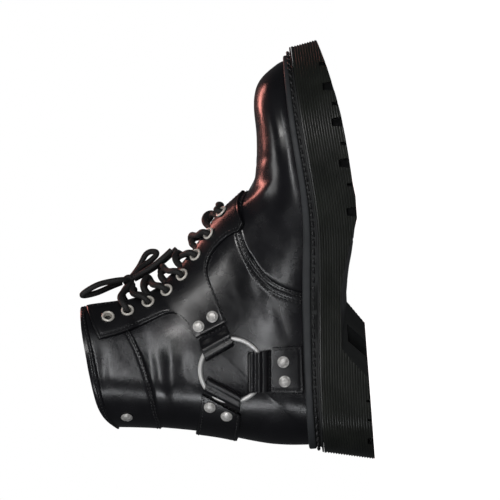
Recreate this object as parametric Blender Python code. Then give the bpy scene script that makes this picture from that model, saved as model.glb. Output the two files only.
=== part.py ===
"""A right ankle boot in black leather: an eight-eyelet lace-up with a ring harness and a ribbed sole.

Axes: +X to the toe, +Y to the inner (medial) side, +Z up, the floor at z = 0, the origin under the
middle of the heel. The tables count x from the heel's back edge; HEEL_MIDDLE, a share of LENGTH,
moves the finished points to the origin.
Every shape comes from the named sizes below and from short tables in shares of them.
"""

import math

import bmesh
import bpy
import numpy as np

for old in list(bpy.data.objects):
    bpy.data.objects.remove(old)

MM = 0.001

# The boot's own sizes, in millimetres.
LENGTH = 290.0
BALL_WIDTH = 98.0
SHAFT_HEIGHT = 163.0
HEEL_HEIGHT = 34.0
WALL = 2.0
GAP = 0.45
QUARTER_STEP = 1.0
CUFF_STEP = 1.8
BINDING_STEP = 2.6
STRAP_THICK = 2.0
RIB_PITCH = 1.75
RIB_DEPTH = 0.7
LACE_DIAMETER = 4.0
EYELET_OUTER = 9.0
EYELET_HOLE = 5.6
RIVET_DIAMETER = 8.0
RING_RADIUS = 21.4
RING_WIRE = 3.0
HEEL_MIDDLE = 0.12

# The sole's top line: along (share of LENGTH), height (share of HEEL_HEIGHT).
SOLE_TOP = (
    (0.00, 1.00),
    (0.17, 0.985),
    (0.33, 0.905),
    (0.46, 0.825),
    (0.555, 0.79),
    (0.655, 0.84),
    (0.77, 0.935),
    (0.876, 1.01),
    (0.96, 1.06),
    (1.00, 1.08),
)

# The sections of the upper, from the toe's tip up to the collar. Each plane runs from a base point
# to a top point. top_x, base_x: shares of LENGTH. top_up, base_up: shares of SHAFT_HEIGHT over the
# sole's top line. base_lat, base_med, half_lat, half_med: shares of BALL_WIDTH. wide_at: where
# along the section it is widest. square: the shoulder's exponent. throat: half the opening, a
# share of BALL_WIDTH.
COLUMNS = "top_x top_up base_x base_up base_lat base_med half_lat half_med wide_at square throat"
SECTIONS = (
    (0.954, 0.006, 0.954, 0.004, 0.000, 0.000, 0.004, 0.004, 0.45, 2.2, 0.00),
    (0.952, 0.046, 0.949, 0.004, 0.085, 0.115, 0.100, 0.130, 0.45, 2.2, 0.00),
    (0.940, 0.086, 0.935, 0.004, 0.165, 0.205, 0.195, 0.235, 0.42, 2.25, 0.00),
    (0.920, 0.134, 0.910, 0.004, 0.255, 0.285, 0.295, 0.325, 0.40, 2.3, 0.00),
    (0.889, 0.173, 0.876, 0.004, 0.335, 0.355, 0.380, 0.405, 0.38, 2.3, 0.00),
    (0.842, 0.192, 0.829, 0.004, 0.405, 0.410, 0.452, 0.458, 0.36, 2.25, 0.00),
    (0.790, 0.197, 0.774, 0.004, 0.455, 0.435, 0.498, 0.483, 0.35, 2.2, 0.00),
    (0.734, 0.212, 0.714, 0.004, 0.473, 0.437, 0.512, 0.484, 0.34, 2.15, 0.00),
    (0.688, 0.232, 0.652, 0.004, 0.463, 0.408, 0.500, 0.458, 0.34, 2.1, 0.00),
    (0.655, 0.270, 0.586, 0.004, 0.433, 0.362, 0.470, 0.420, 0.34, 2.1, 0.075),
    (0.628, 0.338, 0.517, 0.004, 0.387, 0.316, 0.430, 0.380, 0.35, 2.25, 0.105),
    (0.592, 0.421, 0.438, 0.004, 0.333, 0.280, 0.392, 0.350, 0.36, 2.35, 0.120),
    (0.548, 0.492, 0.352, 0.004, 0.298, 0.268, 0.368, 0.338, 0.38, 2.4, 0.125),
    (0.503, 0.566, 0.255, 0.004, 0.292, 0.286, 0.355, 0.342, 0.42, 2.4, 0.130),
    (0.465, 0.646, 0.148, 0.004, 0.297, 0.297, 0.349, 0.344, 0.44, 2.4, 0.132),
    (0.441, 0.718, 0.048, 0.004, 0.000, 0.000, 0.344, 0.342, 0.46, 2.35, 0.135),
    (0.428, 0.788, 0.052, 0.150, 0.000, 0.000, 0.338, 0.338, 0.48, 2.3, 0.138),
    (0.422, 0.848, 0.066, 0.285, 0.000, 0.000, 0.336, 0.336, 0.49, 2.25, 0.142),
    (0.419, 0.894, 0.088, 0.425, 0.000, 0.000, 0.342, 0.342, 0.50, 2.2, 0.146),
    (0.416, 0.934, 0.105, 0.570, 0.000, 0.000, 0.356, 0.356, 0.50, 2.2, 0.150),
    (0.413, 0.968, 0.118, 0.720, 0.000, 0.000, 0.374, 0.374, 0.50, 2.2, 0.155),
    (0.410, 0.996, 0.126, 0.862, 0.000, 0.000, 0.388, 0.388, 0.50, 2.2, 0.160),
)
# The collar's line over the straight plane of the last section: share of the way from the back
# to the front, rise (share of SHAFT_HEIGHT).
COLLAR_RISE = (
    (0.00, 0.000),
    (0.04, 0.020),
    (0.13, 0.044),
    (0.28, 0.050),
    (0.45, 0.045),
    (0.63, 0.035),
    (0.80, 0.027),
    (0.94, 0.014),
    (1.00, 0.003),
)
HEEL_ROW = 15
TURN_ROW = 14
THROAT_ROW = 8.9
TOP_ROW = len(SECTIONS) - 1


def spline(knots, values):
    """A natural cubic spline through the values, as a function of an array."""
    knots = np.asarray(knots, float)
    values = np.asarray(values, float)
    n = len(knots)
    step = np.diff(knots)
    matrix = np.eye(n)
    right = np.zeros(n)
    for i in range(1, n - 1):
        matrix[i, i - 1 : i + 2] = step[i - 1], 2 * (step[i - 1] + step[i]), step[i]
        rise = np.diff(values[i - 1 : i + 2]) / step[i - 1 : i + 1]
        right[i] = 6 * (rise[1] - rise[0])
    bend = np.linalg.solve(matrix, right)

    def at(x):
        x = np.clip(np.asarray(x, float), knots[0], knots[-1])
        i = np.clip(np.searchsorted(knots, x, side="right") - 1, 0, n - 2)
        h = step[i]
        left = (knots[i + 1] - x) / h
        near = (x - knots[i]) / h
        cubic = ((left**3 - left) * bend[i] + (near**3 - near) * bend[i + 1]) * h**2 / 6
        return left * values[i] + near * values[i + 1] + cubic

    return at


sole_top_share = spline([row[0] for row in SOLE_TOP], [row[1] for row in SOLE_TOP])


def sole_top(x):
    """The height of the sole's top line at x."""
    return HEEL_HEIGHT * sole_top_share(np.asarray(x, float) / LENGTH)


collar_rise = spline([row[0] for row in COLLAR_RISE], [row[1] for row in COLLAR_RISE])


def section_splines():
    """One function of the row number for each column of SECTIONS."""
    rows = np.arange(len(SECTIONS))
    made = {}
    for i, name in enumerate(COLUMNS.split()):
        values = np.array([row[i] for row in SECTIONS])
        if not name.startswith("base"):
            made[name] = spline(rows, values)
            continue
        low = spline(rows[: TURN_ROW + 1], values[: TURN_ROW + 1])
        high = spline(rows[HEEL_ROW:], values[HEEL_ROW:])
        made[name] = low, high, values[TURN_ROW], values[HEEL_ROW]
    return made


COLUMN = section_splines()


def base_column(name, s):
    """A base column: a spline to the heel's turn, a quarter round behind it, a spline up the back."""
    low, high, turn, heel = COLUMN[name]
    angle = np.clip(HEEL_ROW - s, 0, 1) * math.pi / 2
    share = np.sin(angle) if name in ("base_lat", "base_med") else 1 - np.cos(angle)
    quarter = heel + (turn - heel) * share
    return np.where(s <= TURN_ROW, low(s), np.where(s < HEEL_ROW, quarter, high(s)))


def anchors(s):
    """The base and top points of the section plane s, in the plane y = 0."""
    s = np.asarray(s, float)
    top_x = LENGTH * COLUMN["top_x"](s)
    top_z = sole_top(top_x) + SHAFT_HEIGHT * COLUMN["top_up"](s)
    base_x = LENGTH * base_column("base_x", s)
    base_z = sole_top(base_x) + SHAFT_HEIGHT * base_column("base_up", s)
    return base_x, base_z, top_x, top_z


def section(s, side):
    """The numbers of the half section s: side is -1 for lateral and 1 for medial."""
    s = np.asarray(s, float)
    base_x, base_z, top_x, top_z = anchors(s)
    height = np.hypot(top_x - base_x, top_z - base_z)
    which = "lat" if side < 0 else "med"
    wide = BALL_WIDTH * np.maximum(COLUMN["half_" + which](s), 0.003)
    base = BALL_WIDTH * np.maximum(base_column("base_" + which, s), 0.0)
    start = np.arcsin(np.clip(base / wide, 0, 0.985))
    widest = COLUMN["wide_at"](s) * height
    return base_x, base_z, top_x, top_z, height, wide, start, widest, COLUMN["square"](s)


def plain_point(s, t, side):
    """The upper's own surface with no step: t runs from 0 at the base to 1 at the centre line."""
    base_x, base_z, top_x, top_z, height, wide, start, widest, square = section(s, side)
    a = start + (math.pi - start) * t
    cosine = np.cos(a)
    sine = np.sin(a)
    upper = (np.abs(cosine) ** square + np.abs(sine) ** square) ** (-1 / square)
    up_upper = widest + (height - widest) * upper * np.abs(cosine)
    up_lower = widest - widest / np.cos(start) * cosine
    up = np.where(cosine > 0, up_lower, up_upper)
    out = np.where(cosine > 0, wide * sine, wide * upper * sine)
    share = up / np.maximum(height, 1e-6)
    x = base_x + (top_x - base_x) * share
    z = base_z + (top_z - base_z) * share
    ramp = np.clip((s - 17.5) / (TOP_ROW - 17.5), 0, 1)
    z = z + SHAFT_HEIGHT * collar_rise(share) * ramp**2 * (3 - 2 * ramp)
    return np.stack([x, side * out, z], axis=-1)


def point(s, t, side, lift=0.0):
    """A point of the upper's surface, lifted along its outward normal."""
    s, t, lift = np.broadcast_arrays(
        np.asarray(s, float), np.asarray(t, float), np.asarray(lift, float)
    )
    at = plain_point(s, t, side)
    s0 = np.clip(s - 0.04, 0.12, TOP_ROW - 0.08)
    s1 = np.maximum(np.clip(s + 0.04, 0.12, TOP_ROW), s0 + 0.08)
    t0 = np.clip(t - 0.01, 0.0, 0.98)
    near = np.clip(t, 0.01, 0.99)
    along = plain_point(s1, near, side) - plain_point(s0, near, side)
    inside = np.clip(s, 0.12, TOP_ROW)
    across = plain_point(inside, t0 + 0.02, side) - plain_point(inside, t0, side)
    normal = np.cross(along, across) * side
    centre = (t > 0.999) | ((t < 0.001) & (s >= HEEL_ROW))
    normal[..., 1] = np.where(centre, 0.0, normal[..., 1])
    normal /= np.maximum(np.linalg.norm(normal, axis=-1, keepdims=True), 1e-9)
    return at + normal * lift[..., None]


def angle_at(s, y, side):
    """t where the front half of section s stands y from the centre line."""
    values = section(s, side)
    wide, start = values[5], values[6]
    a = math.pi - np.arcsin(np.clip(y / wide, 0, 1))
    return (a - start) / (math.pi - start)


def throat_edge(s, side):
    """t of the throat's edge at section s, 1 where the front is closed."""
    s = np.asarray(s, float)
    opening = np.minimum(COLUMN["throat"](s), 0.105 * np.sqrt(np.clip(s - THROAT_ROW, 0, None)))
    opening = np.where(s > 11, COLUMN["throat"](s), opening)
    edge = angle_at(s, BALL_WIDTH * np.maximum(opening, 0), side)
    return np.where(s <= THROAT_ROW, 1.0, edge)


def find(x, z, side):
    """(s, t) of the surface point seen from the side at x, z."""
    rows = np.linspace(0.3, TOP_ROW, 1400)
    base_x, base_z, top_x, top_z = anchors(rows)
    length = (top_x - base_x) ** 2 + (top_z - base_z) ** 2
    ts = np.linspace(0, 1, 1200)
    goal_x, goal_z = x, z
    for _ in range(5):
        cross = (top_x - base_x) * (goal_z - base_z) - (top_z - base_z) * (goal_x - base_x)
        sign = np.where(np.diff(np.sign(cross)) != 0)[0]
        share = (goal_x - base_x) * (top_x - base_x) + (goal_z - base_z) * (top_z - base_z)
        share = share / length
        good = [i for i in sign if -0.05 <= share[i] <= 1.05]
        i = good[0] if good else int(np.argmin(np.abs(cross) / np.sqrt(length)))
        step = cross[i] / (cross[i] - cross[i + 1]) if good else 0.0
        s = rows[i] + (rows[i + 1] - rows[i]) * step if good else rows[i]
        line = plain_point(np.full_like(ts, s), ts, side)
        b_x, b_z, t_x, t_z = anchors(s)
        up = line[:, 0] * (t_x - b_x)
        want = x * (t_x - b_x)
        if abs(t_z - b_z) > abs(t_x - b_x):
            up = line[:, 2] * (t_z - b_z)
            want = z * (t_z - b_z)
        t = float(np.interp(want, up, ts))
        at = plain_point(s, t, side)
        goal_x += x - float(at[0])
        goal_z += z - float(at[2])
    return float(s), t


def solid(name, points, faces, material):
    """One object from points in millimetres and faces; it also faces outward."""
    mesh = bpy.data.meshes.new(name)
    points = (np.asarray(points, float) - (HEEL_MIDDLE * LENGTH, 0.0, 0.0)) * MM
    mesh.from_pydata(points.tolist(), [], [[int(v) for v in face] for face in faces])
    built = bmesh.new()
    built.from_mesh(mesh)
    bmesh.ops.remove_doubles(built, verts=built.verts, dist=2e-6)
    bmesh.ops.recalc_face_normals(built, faces=built.faces)
    if built.calc_volume(signed=True) < 0:
        bmesh.ops.reverse_faces(built, faces=built.faces)
    built.to_mesh(mesh)
    built.free()
    made = bpy.data.objects.new(name, mesh)
    bpy.context.scene.collection.objects.link(made)
    made.data.materials.append(material)
    return made


def material(name, colour, roughness, metallic=0.0):
    made = bpy.data.materials.new(name)
    made.use_nodes = True
    shader = made.node_tree.nodes["Principled BSDF"]
    shader.inputs["Base Color"].default_value = (*colour, 1.0)
    shader.inputs["Roughness"].default_value = roughness
    shader.inputs["Metallic"].default_value = metallic
    return made


LEATHER = ("black_leather", (0.012, 0.012, 0.013), 0.32)
LINING = ("dark_lining", (0.03, 0.028, 0.027), 0.8)
RUBBER = ("black_rubber", (0.017, 0.019, 0.017), 0.62)
WELT = ("grey_welt", (0.045, 0.048, 0.05), 0.6)
LACE = ("black_lace", (0.01, 0.01, 0.01), 0.85)
NICKEL = ("worn_nickel", (0.55, 0.53, 0.50), 0.3, 1.0)
CREAM = ("pale_nickel", (0.62, 0.58, 0.52), 0.35, 1.0)


def shell(outer, inner, faces):
    """A closed solid between two sheets of the same faces: inner holds outer's points, moved inward."""
    count = len(outer)
    edges = {}
    for face in faces:
        for a, b in zip(face, face[1:] + face[:1]):
            edges[(a, b)] = True
    rim = [(a, b) for a, b in edges if (b, a) not in edges]
    made = [tuple(face) for face in faces]
    made += [tuple(count + v for v in reversed(face)) for face in faces]
    made += [(b, a, count + a, count + b) for a, b in rim]
    return np.concatenate([outer, inner]), made


def grid_faces(rows, columns, start=0):
    """The quads of a grid of points, row after row."""
    made = []
    for i in range(rows - 1):
        for j in range(columns - 1):
            a = start + i * columns + j
            made.append([a, a + 1, a + columns + 1, a + columns])
    return made


# The vamp seam, where the quarter's front edge lies over the vamp: across (0 at the base, 1 at the
# throat), section row.
VAMP_SEAM = (
    (0.00, 11.45),
    (0.20, 11.75),
    (0.38, 11.85),
    (0.52, 11.55),
    (0.64, 11.00),
    (0.74, 10.35),
    (0.84, 9.70),
    (0.92, 9.25),
    (1.00, 9.05),
)
# The cuff's lower line and the binding's lower line: across, section row.
CUFF_LINE = ((0.0, 19.70), (0.25, 19.35), (0.5, 18.85), (0.75, 18.20), (1.0, 17.60))
BINDING_LINE = ((0.0, 20.93), (0.25, 20.78), (0.5, 20.62), (0.75, 20.50), (1.0, 20.42))
STEP_RUN = 0.035
# Section rows of the upper's own mesh: ahead of the vamp seam as shares, behind it as rows.
AHEAD = (0.012, 0.05, 0.11, 0.18, 0.26, 0.35, 0.45, 0.56, 0.68, 0.79, 0.895, 1.0)
BEHIND = (13.05, 14.0, 14.35, 14.68, 15.0, 15.9, 16.8)
ACROSS = (0.0, 0.07, 0.16, 0.27, 0.38, 0.50, 0.61, 0.71, 0.81, 0.905, 1.0)

vamp_seam = spline([row[0] for row in VAMP_SEAM], [row[1] for row in VAMP_SEAM])
cuff_line = spline([row[0] for row in CUFF_LINE], [row[1] for row in CUFF_LINE])
binding_line = spline([row[0] for row in BINDING_LINE], [row[1] for row in BINDING_LINE])


def step_height(s, across):
    """How far the wall stands over the vamp: the quarter, the cuff and the binding are steps in it."""
    seam = vamp_seam(across)
    rise = QUARTER_STEP * np.clip((s - seam) / STEP_RUN, 0, 1)
    cuff = np.clip((s - cuff_line(across)) / STEP_RUN, 0, 1)
    binding = np.clip((s - binding_line(across)) / STEP_RUN, 0, 1)
    return rise + (CUFF_STEP - QUARTER_STEP) * cuff + (BINDING_STEP - CUFF_STEP) * binding


def upper_rows(across):
    """The section rows of the mesh at a share of the way across: one line runs along the seam."""
    seam = vamp_seam(across)
    first = AHEAD[0] * 9.0
    rows = [first + (seam - first) * (share - AHEAD[0]) / (1 - AHEAD[0]) for share in AHEAD]
    rows += [seam + STEP_RUN]
    rows += [seam + STEP_RUN + (BEHIND[0] - seam - STEP_RUN) * share for share in (0.34, 0.67)]
    cuff = float(cuff_line(across))
    binding = float(binding_line(across))
    rows += list(BEHIND) + [(BEHIND[-1] + cuff) / 2, cuff, cuff + STEP_RUN, (cuff + binding) / 2]
    rows += [binding, binding + STEP_RUN, TOP_ROW]
    return np.array(rows)


def upper_sheet(lift):
    """The points and faces of the upper's surface, lifted by lift(s, across)."""
    count = len(upper_rows(0.0))
    points = []
    for side in (-1, 1):
        for across in ACROSS:
            s = upper_rows(across)
            t = across * throat_edge(s, side)
            points.append(point(s, t, side, lift(s, across)))
    points = np.concatenate(points)
    columns = len(ACROSS)
    faces = grid_faces(columns, count) + [
        face[::-1] for face in grid_faces(columns, count, columns * count)
    ]
    return points, faces


def merged(points, faces, near=0.02):
    """The sheet with its two halves welded where their points meet, and empty faces dropped."""
    keys = {}
    index = []
    kept = []
    for p in points:
        key = tuple(np.round(p / near).astype(int))
        if key not in keys:
            keys[key] = len(kept)
            kept.append(p)
        index.append(keys[key])
    made = []
    for face in faces:
        face = [index[v] for v in face]
        face = [v for i, v in enumerate(face) if v != face[i - 1]]
        if len(set(face)) >= 3 and len(set(face)) == len(face):
            made.append(face)
    return np.array(kept), made, index


def step_at(s, t, side):
    """The wall's step height at (s, t)."""
    across = np.clip(t / throat_edge(s, side), 0, 1)
    return step_height(s, across)


def base_lift(s, t, side):
    """Where a strap lies: over the wall's steps, rising smoothly ahead of the cuff and the binding."""
    across = np.clip(t / throat_edge(s, side), 0, 1)
    ease = np.clip((s - cuff_line(across) + 0.75) / 0.6, 0, 1)
    rise = QUARTER_STEP + (CUFF_STEP - QUARTER_STEP) * ease**2 * (3 - 2 * ease)
    return np.maximum(rise, step_at(s, t, side))


def patch(s, t, side, low, high):
    """A closed strap over the upper: s and t are grids, low and high its two faces' lifts."""
    outer = point(s, t, side, high)
    inner = point(s, t, side, low)
    rows, columns = s.shape
    return shell(outer.reshape(-1, 3), inner.reshape(-1, 3), grid_faces(rows, columns))


def blend(first, last, shares):
    """Rows between two edges given as arrays."""
    return first[:, None] + (last - first)[:, None] * np.asarray(shares)[None, :]


# The rear edge of the eyestay and of the instep strap that grows out of it, seen from the side, and
# the section row of the throat's edge that each point is joined to: row, x and z as shares of
# LENGTH and SHAFT_HEIGHT.
EYESTAY_EDGE = (
    (9.22, 0.578, 0.468),
    (9.75, 0.560, 0.488),
    (10.35, 0.552, 0.525),
    (10.95, 0.535, 0.570),
    (11.60, 0.509, 0.612),
    (12.25, 0.480, 0.634),
    (12.90, 0.446, 0.630),
    (13.45, 0.392, 0.597),
    (13.90, 0.3485, 0.572),
    (14.25, 0.3325, 0.637),
    (14.65, 0.3160, 0.704),
    (15.10, 0.348, 0.724),
    (15.60, 0.372, 0.762),
    (16.20, 0.378, 0.812),
    (17.00, 0.366, 0.873),
    (17.90, 0.351, 0.945),
    (18.90, 0.339, 1.010),
    (19.70, 0.332, 1.068),
    (20.25, 0.328, 1.112),
)
EYESTAY_ACROSS = (0.0, 0.14, 0.29, 0.44, 0.60, 0.80, 1.0)


def edge_grid(table, side, shares):
    """The (s, t) grid between the throat's edge and a rear edge table."""
    top = np.array([row[0] for row in table])
    rear = np.array([find(row[1] * LENGTH, row[2] * SHAFT_HEIGHT, side) for row in table])
    s = blend(top, rear[:, 0], shares)
    t = blend(throat_edge(top, side) - 0.004, rear[:, 1], shares)
    return s, t


# Straps seen from the side, as shares of LENGTH and SHAFT_HEIGHT: each has a line at its stitch
# row beside the ring and a line at its far end. The side strap's far end lies STRAP_OVER_WELT above
# the welt.
STRAP_OVER_WELT = 1.4
SIDE_STRAP = (
    ((0.2825, 0.3925), (0.1771, 0.4060)),
    ((0.2825, 0.330), (0.1740, 0.338)),
    ((0.2820, 0.272), (0.1690, 0.276)),
)
HEEL_STRAP = ((0.1857, 0.6990), (0.1328, 0.5440))
HEEL_STRAP_BACK = (0.738, 0.566)
# The folds round the ring: the fold's own line and the stitch line behind it, the same shares.
FOLDS = {
    "instep": ((0.3012, 0.5450), (0.2657, 0.6755), (0.3470, 0.5700), (0.3145, 0.7010)),
    "side": ((0.1793, 0.4985), (0.2800, 0.4850), (0.1772, 0.4090), (0.2824, 0.3957)),
    "heel": ((0.2240, 0.6745), (0.1719, 0.5290), (0.1872, 0.6980), (0.1345, 0.5436)),
}
RING_CENTRE = (0.2380, 0.5660)


def ring_frame(side):
    """The ring's centre, its two directions in its plane and its normal, over the upper's side."""
    cx, cz = RING_CENTRE[0] * LENGTH, RING_CENTRE[1] * SHAFT_HEIGHT
    under = []
    for k in range(16):
        angle = 2 * math.pi * k / 16
        x = cx + RING_RADIUS * math.cos(angle)
        z = cz + RING_RADIUS * math.sin(angle)
        s, t = find(x, z, side)
        under.append(point(s, t, side, QUARTER_STEP))
    under = np.array(under)
    middle = under.mean(axis=0)
    normal = np.linalg.svd(under - middle)[2][2]
    normal = normal * (1 if normal[1] * side > 0 else -1)
    high = ((under - middle) @ normal).max()
    forward = np.array([1.0, 0.0, 0.0])
    forward = forward - normal * (forward @ normal)
    forward /= np.linalg.norm(forward)
    upward = np.cross(forward, normal)
    upward = upward * (1 if upward[2] > 0 else -1)
    lift = high + GAP + 2.6 + RING_WIRE / 2
    return middle + normal * lift, forward, upward, normal


def torus(name, centre, forward, upward, normal, radius, wire, around, ring, made):
    points = []
    faces = []
    for i in range(around):
        angle = 2 * math.pi * i / around
        out = forward * math.cos(angle) + upward * math.sin(angle)
        for j in range(ring):
            turn = 2 * math.pi * j / ring
            reach = radius + wire / 2 * math.cos(turn)
            points.append(centre + out * reach + normal * wire / 2 * math.sin(turn))
            a = i * ring + j
            b = i * ring + (j + 1) % ring
            c = ((i + 1) % around) * ring + (j + 1) % ring
            d = ((i + 1) % around) * ring + j
            faces.append([a, b, c, d])
    return solid(name, points, faces, made)


def fold_loop(name, key, side, frame, made, stations=4):
    """The end of a strap folded round the ring's wire: a flat tunnel open at both sides."""
    a, b, c, d = (np.array([x * LENGTH, z * SHAFT_HEIGHT]) for x, z in FOLDS[key])
    length = np.linalg.norm((c + d - a - b) / 2)
    across = (b - a) / np.linalg.norm(b - a)
    inward = np.array([RING_CENTRE[0] * LENGTH, RING_CENTRE[1] * SHAFT_HEIGHT]) - (a + b) / 2
    chord = abs(inward[0] * across[1] - inward[1] * across[0])
    reach = min(RING_RADIUS + RING_WIRE / 2 + 1.4 - chord, length - 0.9)
    centre, _, _, normal = frame
    half = RING_WIRE / 2 + 1.0
    skin = 1.5
    outside = []
    inside = []
    for i in range(stations):
        share = 0.035 + 0.93 * i / (stations - 1)
        foot = a + (b - a) * share
        away = (c + (d - c) * share - foot) / length
        outer_ring = []
        inner_ring = []
        # Distance back from the fold, and height: "mid" is the ring's plane.
        outer_shape = (
            (length, "low"), (3.0, "low"), (-0.3, "mid_low"), (-1.6, "mid"),
            (-0.8, "mid_high"), (1.8, "top"), (reach + 0.4, "top"), (length, "end"),
        )
        inner_shape = (
            (reach, "floor"), (3.4, "floor"), (0.9, "in_low"), (-0.1, "mid"),
            (0.4, "in_high"), (2.0, "roof"), (reach - 2.5, "roof"), (reach, "roof"),
        )
        for shape, ring in ((outer_shape, outer_ring), (inner_shape, inner_ring)):
            for back, level in shape:
                spot = foot + away * back
                s, t = find(spot[0], spot[1], side)
                skin_point = point(s, t, side, 0.0)
                plane = (centre - skin_point) @ normal
                low = float(base_lift(s, t, side)) + GAP
                plane = max(plane, low + skin + half)
                height = {
                    "low": low,
                    "mid_low": (low + plane) / 2 - 0.4,
                    "mid": plane,
                    "mid_high": plane + half + 0.7,
                    "top": plane + half + skin,
                    "end": low + STRAP_THICK + 0.6,
                    "floor": low + skin,
                    "in_low": (low + skin + plane) / 2 - 0.3,
                    "in_high": plane + half * 0.65,
                    "roof": plane + half,
                }[level]
                ring.append(skin_point + normal * height)
        outside.append(outer_ring)
        inside.append(inner_ring)
    count = len(outside[0])
    points = [p for ring in outside for p in ring] + [p for ring in inside for p in ring]
    shift = stations * count
    faces = []
    for i in range(stations - 1):
        for j in range(count):
            p = i * count + j
            q = i * count + (j + 1) % count
            faces.append([p, q, q + count, p + count])
            faces.append([shift + p, shift + p + count, shift + q + count, shift + q])
    for i in (0, stations - 1):
        for j in range(count):
            p = i * count + j
            q = i * count + (j + 1) % count
            faces.append([p, q, shift + q, shift + p])
    return solid(name, points, faces, made)


# Rivets and eyelets seen from the side, as shares of LENGTH and SHAFT_HEIGHT.
RIVETS = (
    ("instep_low", 0.3640, 0.628),
    ("instep_high", 0.3430, 0.688),
    ("side_fore", 0.2470, 0.353),
    ("side_rear", 0.2020, 0.352),
    ("heel_high", 0.1590, 0.668),
    ("heel_low", 0.1362, 0.601),
    ("cuff", 0.1497, 1.020),
)
EYELETS = (
    (0.6000, 0.550),
    (0.5534, 0.609),
    (0.5059, 0.672),
    (0.4617, 0.737),
    (0.4286, 0.807),
    (0.4031, 0.893),
    (0.3845, 0.984),
    (0.3731, 1.069),
)


def mount(x, z, side, lift):
    """A point over the upper with the three directions of a small fitting there."""
    s, t = find(x, z, side)
    foot = point(s, t, side, 0.0)
    normal = point(s, t, side, 1.0) - foot
    forward = np.array([1.0, 0.0, 0.0])
    forward = forward - normal * (forward @ normal)
    forward /= np.linalg.norm(forward)
    upward = np.cross(normal, forward)
    under = max(float(base_lift(row, t, side)) for row in (s - 0.25, s, s + 0.25))
    return foot + normal * (under + lift), forward, upward, normal, s, t


def spun(name, at, profile, around, made):
    """A turned piece: profile holds (radius, height) from the axis or round a hole."""
    centre, forward, upward, normal = at[:4]
    points = []
    faces = []
    count = len(profile)
    for i in range(around):
        angle = 2 * math.pi * i / around
        out = forward * math.cos(angle) + upward * math.sin(angle)
        points += [centre + out * r + normal * h for r, h in profile]
    holed = profile[0][0] > 0.01
    for i in range(around):
        for j in range(count if holed else count - 1):
            a = i * count + j
            b = i * count + (j + 1) % count
            c = ((i + 1) % around) * count + (j + 1) % count
            d = ((i + 1) % around) * count + j
            faces.append([a, b, c, d])
    return solid(name, points, faces, made)


# The outsole's top edge seen from above: along (share of LENGTH), across (share of BALL_WIDTH,
# minus is lateral), from the heel's back round the lateral side and the toe.
OUTLINE = (
    (0.024, 0.000),
    (0.041, -0.204),
    (0.083, -0.332),
    (0.155, -0.378),
    (0.241, -0.367),
    (0.345, -0.362),
    (0.448, -0.408),
    (0.552, -0.480),
    (0.655, -0.531),
    (0.741, -0.539),
    (0.828, -0.490),
    (0.903, -0.378),
    (0.955, -0.224),
    (0.980, -0.071),
    (0.986, 0.036),
    (0.978, 0.148),
    (0.952, 0.286),
    (0.903, 0.403),
    (0.828, 0.485),
    (0.741, 0.510),
    (0.655, 0.485),
    (0.552, 0.408),
    (0.448, 0.337),
    (0.345, 0.321),
    (0.241, 0.347),
    (0.155, 0.372),
    (0.083, 0.332),
    (0.041, 0.204),
)
SIDE_FLARE = 0.10
HEEL_FLARE = 0.11
TOE_FLARE = 0.10
SOLE_STATIONS = 42
# The underside on the lateral and on the medial side: along (share of LENGTH), height (share of
# HEEL_HEIGHT). The heel's front face slants from one to the other.
UNDERSIDE_LATERAL = (
    (-0.10, 0.000), (0.193, 0.000), (0.265, 0.500), (0.310, 0.480), (0.370, 0.465), (0.414, 0.405),
    (0.465, 0.300), (0.510, 0.180), (0.545, 0.080), (0.570, 0.000), (0.621, 0.000), (0.655, 0.038),
    (0.707, 0.070), (0.759, 0.112), (0.810, 0.165), (0.855, 0.235), (0.897, 0.315), (0.934, 0.390),
    (0.972, 0.485), (1.000, 0.560), (1.100, 0.800),
)
UNDERSIDE_MEDIAL = (
    (-0.10, 0.000), (0.324, 0.000), (0.379, 0.323), (0.400, 0.318), (0.428, 0.280), (0.459, 0.230),
    (0.490, 0.160), (0.517, 0.110), (0.545, 0.065), (0.570, 0.000), (0.621, 0.000), (0.655, 0.038),
    (0.707, 0.070), (0.759, 0.112), (0.810, 0.165), (0.855, 0.235), (0.897, 0.315), (0.934, 0.390),
    (0.972, 0.485), (1.000, 0.560), (1.100, 0.800),
)
# Gaps between the lugs at the sole's lower edge: along, run, height, depth inward, in the shares of
# LENGTH, LENGTH, HEEL_HEIGHT and BALL_WIDTH.
LUG_GAPS = (
    (0.0462, 0.024, 0.118, 0.16),
    (0.0965, 0.010, 0.088, 0.12),
    (0.1414, 0.010, 0.088, 0.12),
    (0.5207, 0.010, 0.088, 0.12),
    (0.5852, 0.032, 0.147, 0.17),
    (0.6483, 0.011, 0.088, 0.12),
    (0.7000, 0.034, 0.147, 0.18),
    (0.7448, 0.011, 0.088, 0.12),
    (0.7966, 0.034, 0.147, 0.18),
    (0.8397, 0.011, 0.088, 0.12),
    (0.8817, 0.034, 0.147, 0.15),
    (0.9362, 0.012, 0.100, 0.11),
)


def closed_spline(points, count):
    """Points at equal steps round a smooth closed line through the points, from the first."""
    wrapped = np.array(points[-4:] + points + points[:5], float)
    run = np.concatenate([[0.0], np.cumsum(np.linalg.norm(np.diff(wrapped, axis=0), axis=1))])
    dense = np.linspace(run[4], run[4 + len(points)], 1600)
    line = np.stack([spline(run, wrapped[:, i])(dense) for i in range(wrapped.shape[1])], axis=-1)
    return even(line, count, True)


def even(line, count, closed=False):
    """Points at equal steps along a line."""
    run = np.concatenate([[0.0], np.cumsum(np.linalg.norm(np.diff(line, axis=0), axis=1))])
    at = np.linspace(0, run[-1], count + 1)[:-1] if closed else np.linspace(0, run[-1], count)
    return np.stack([np.interp(at, run, line[:, i]) for i in range(line.shape[1])], axis=-1)


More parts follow.
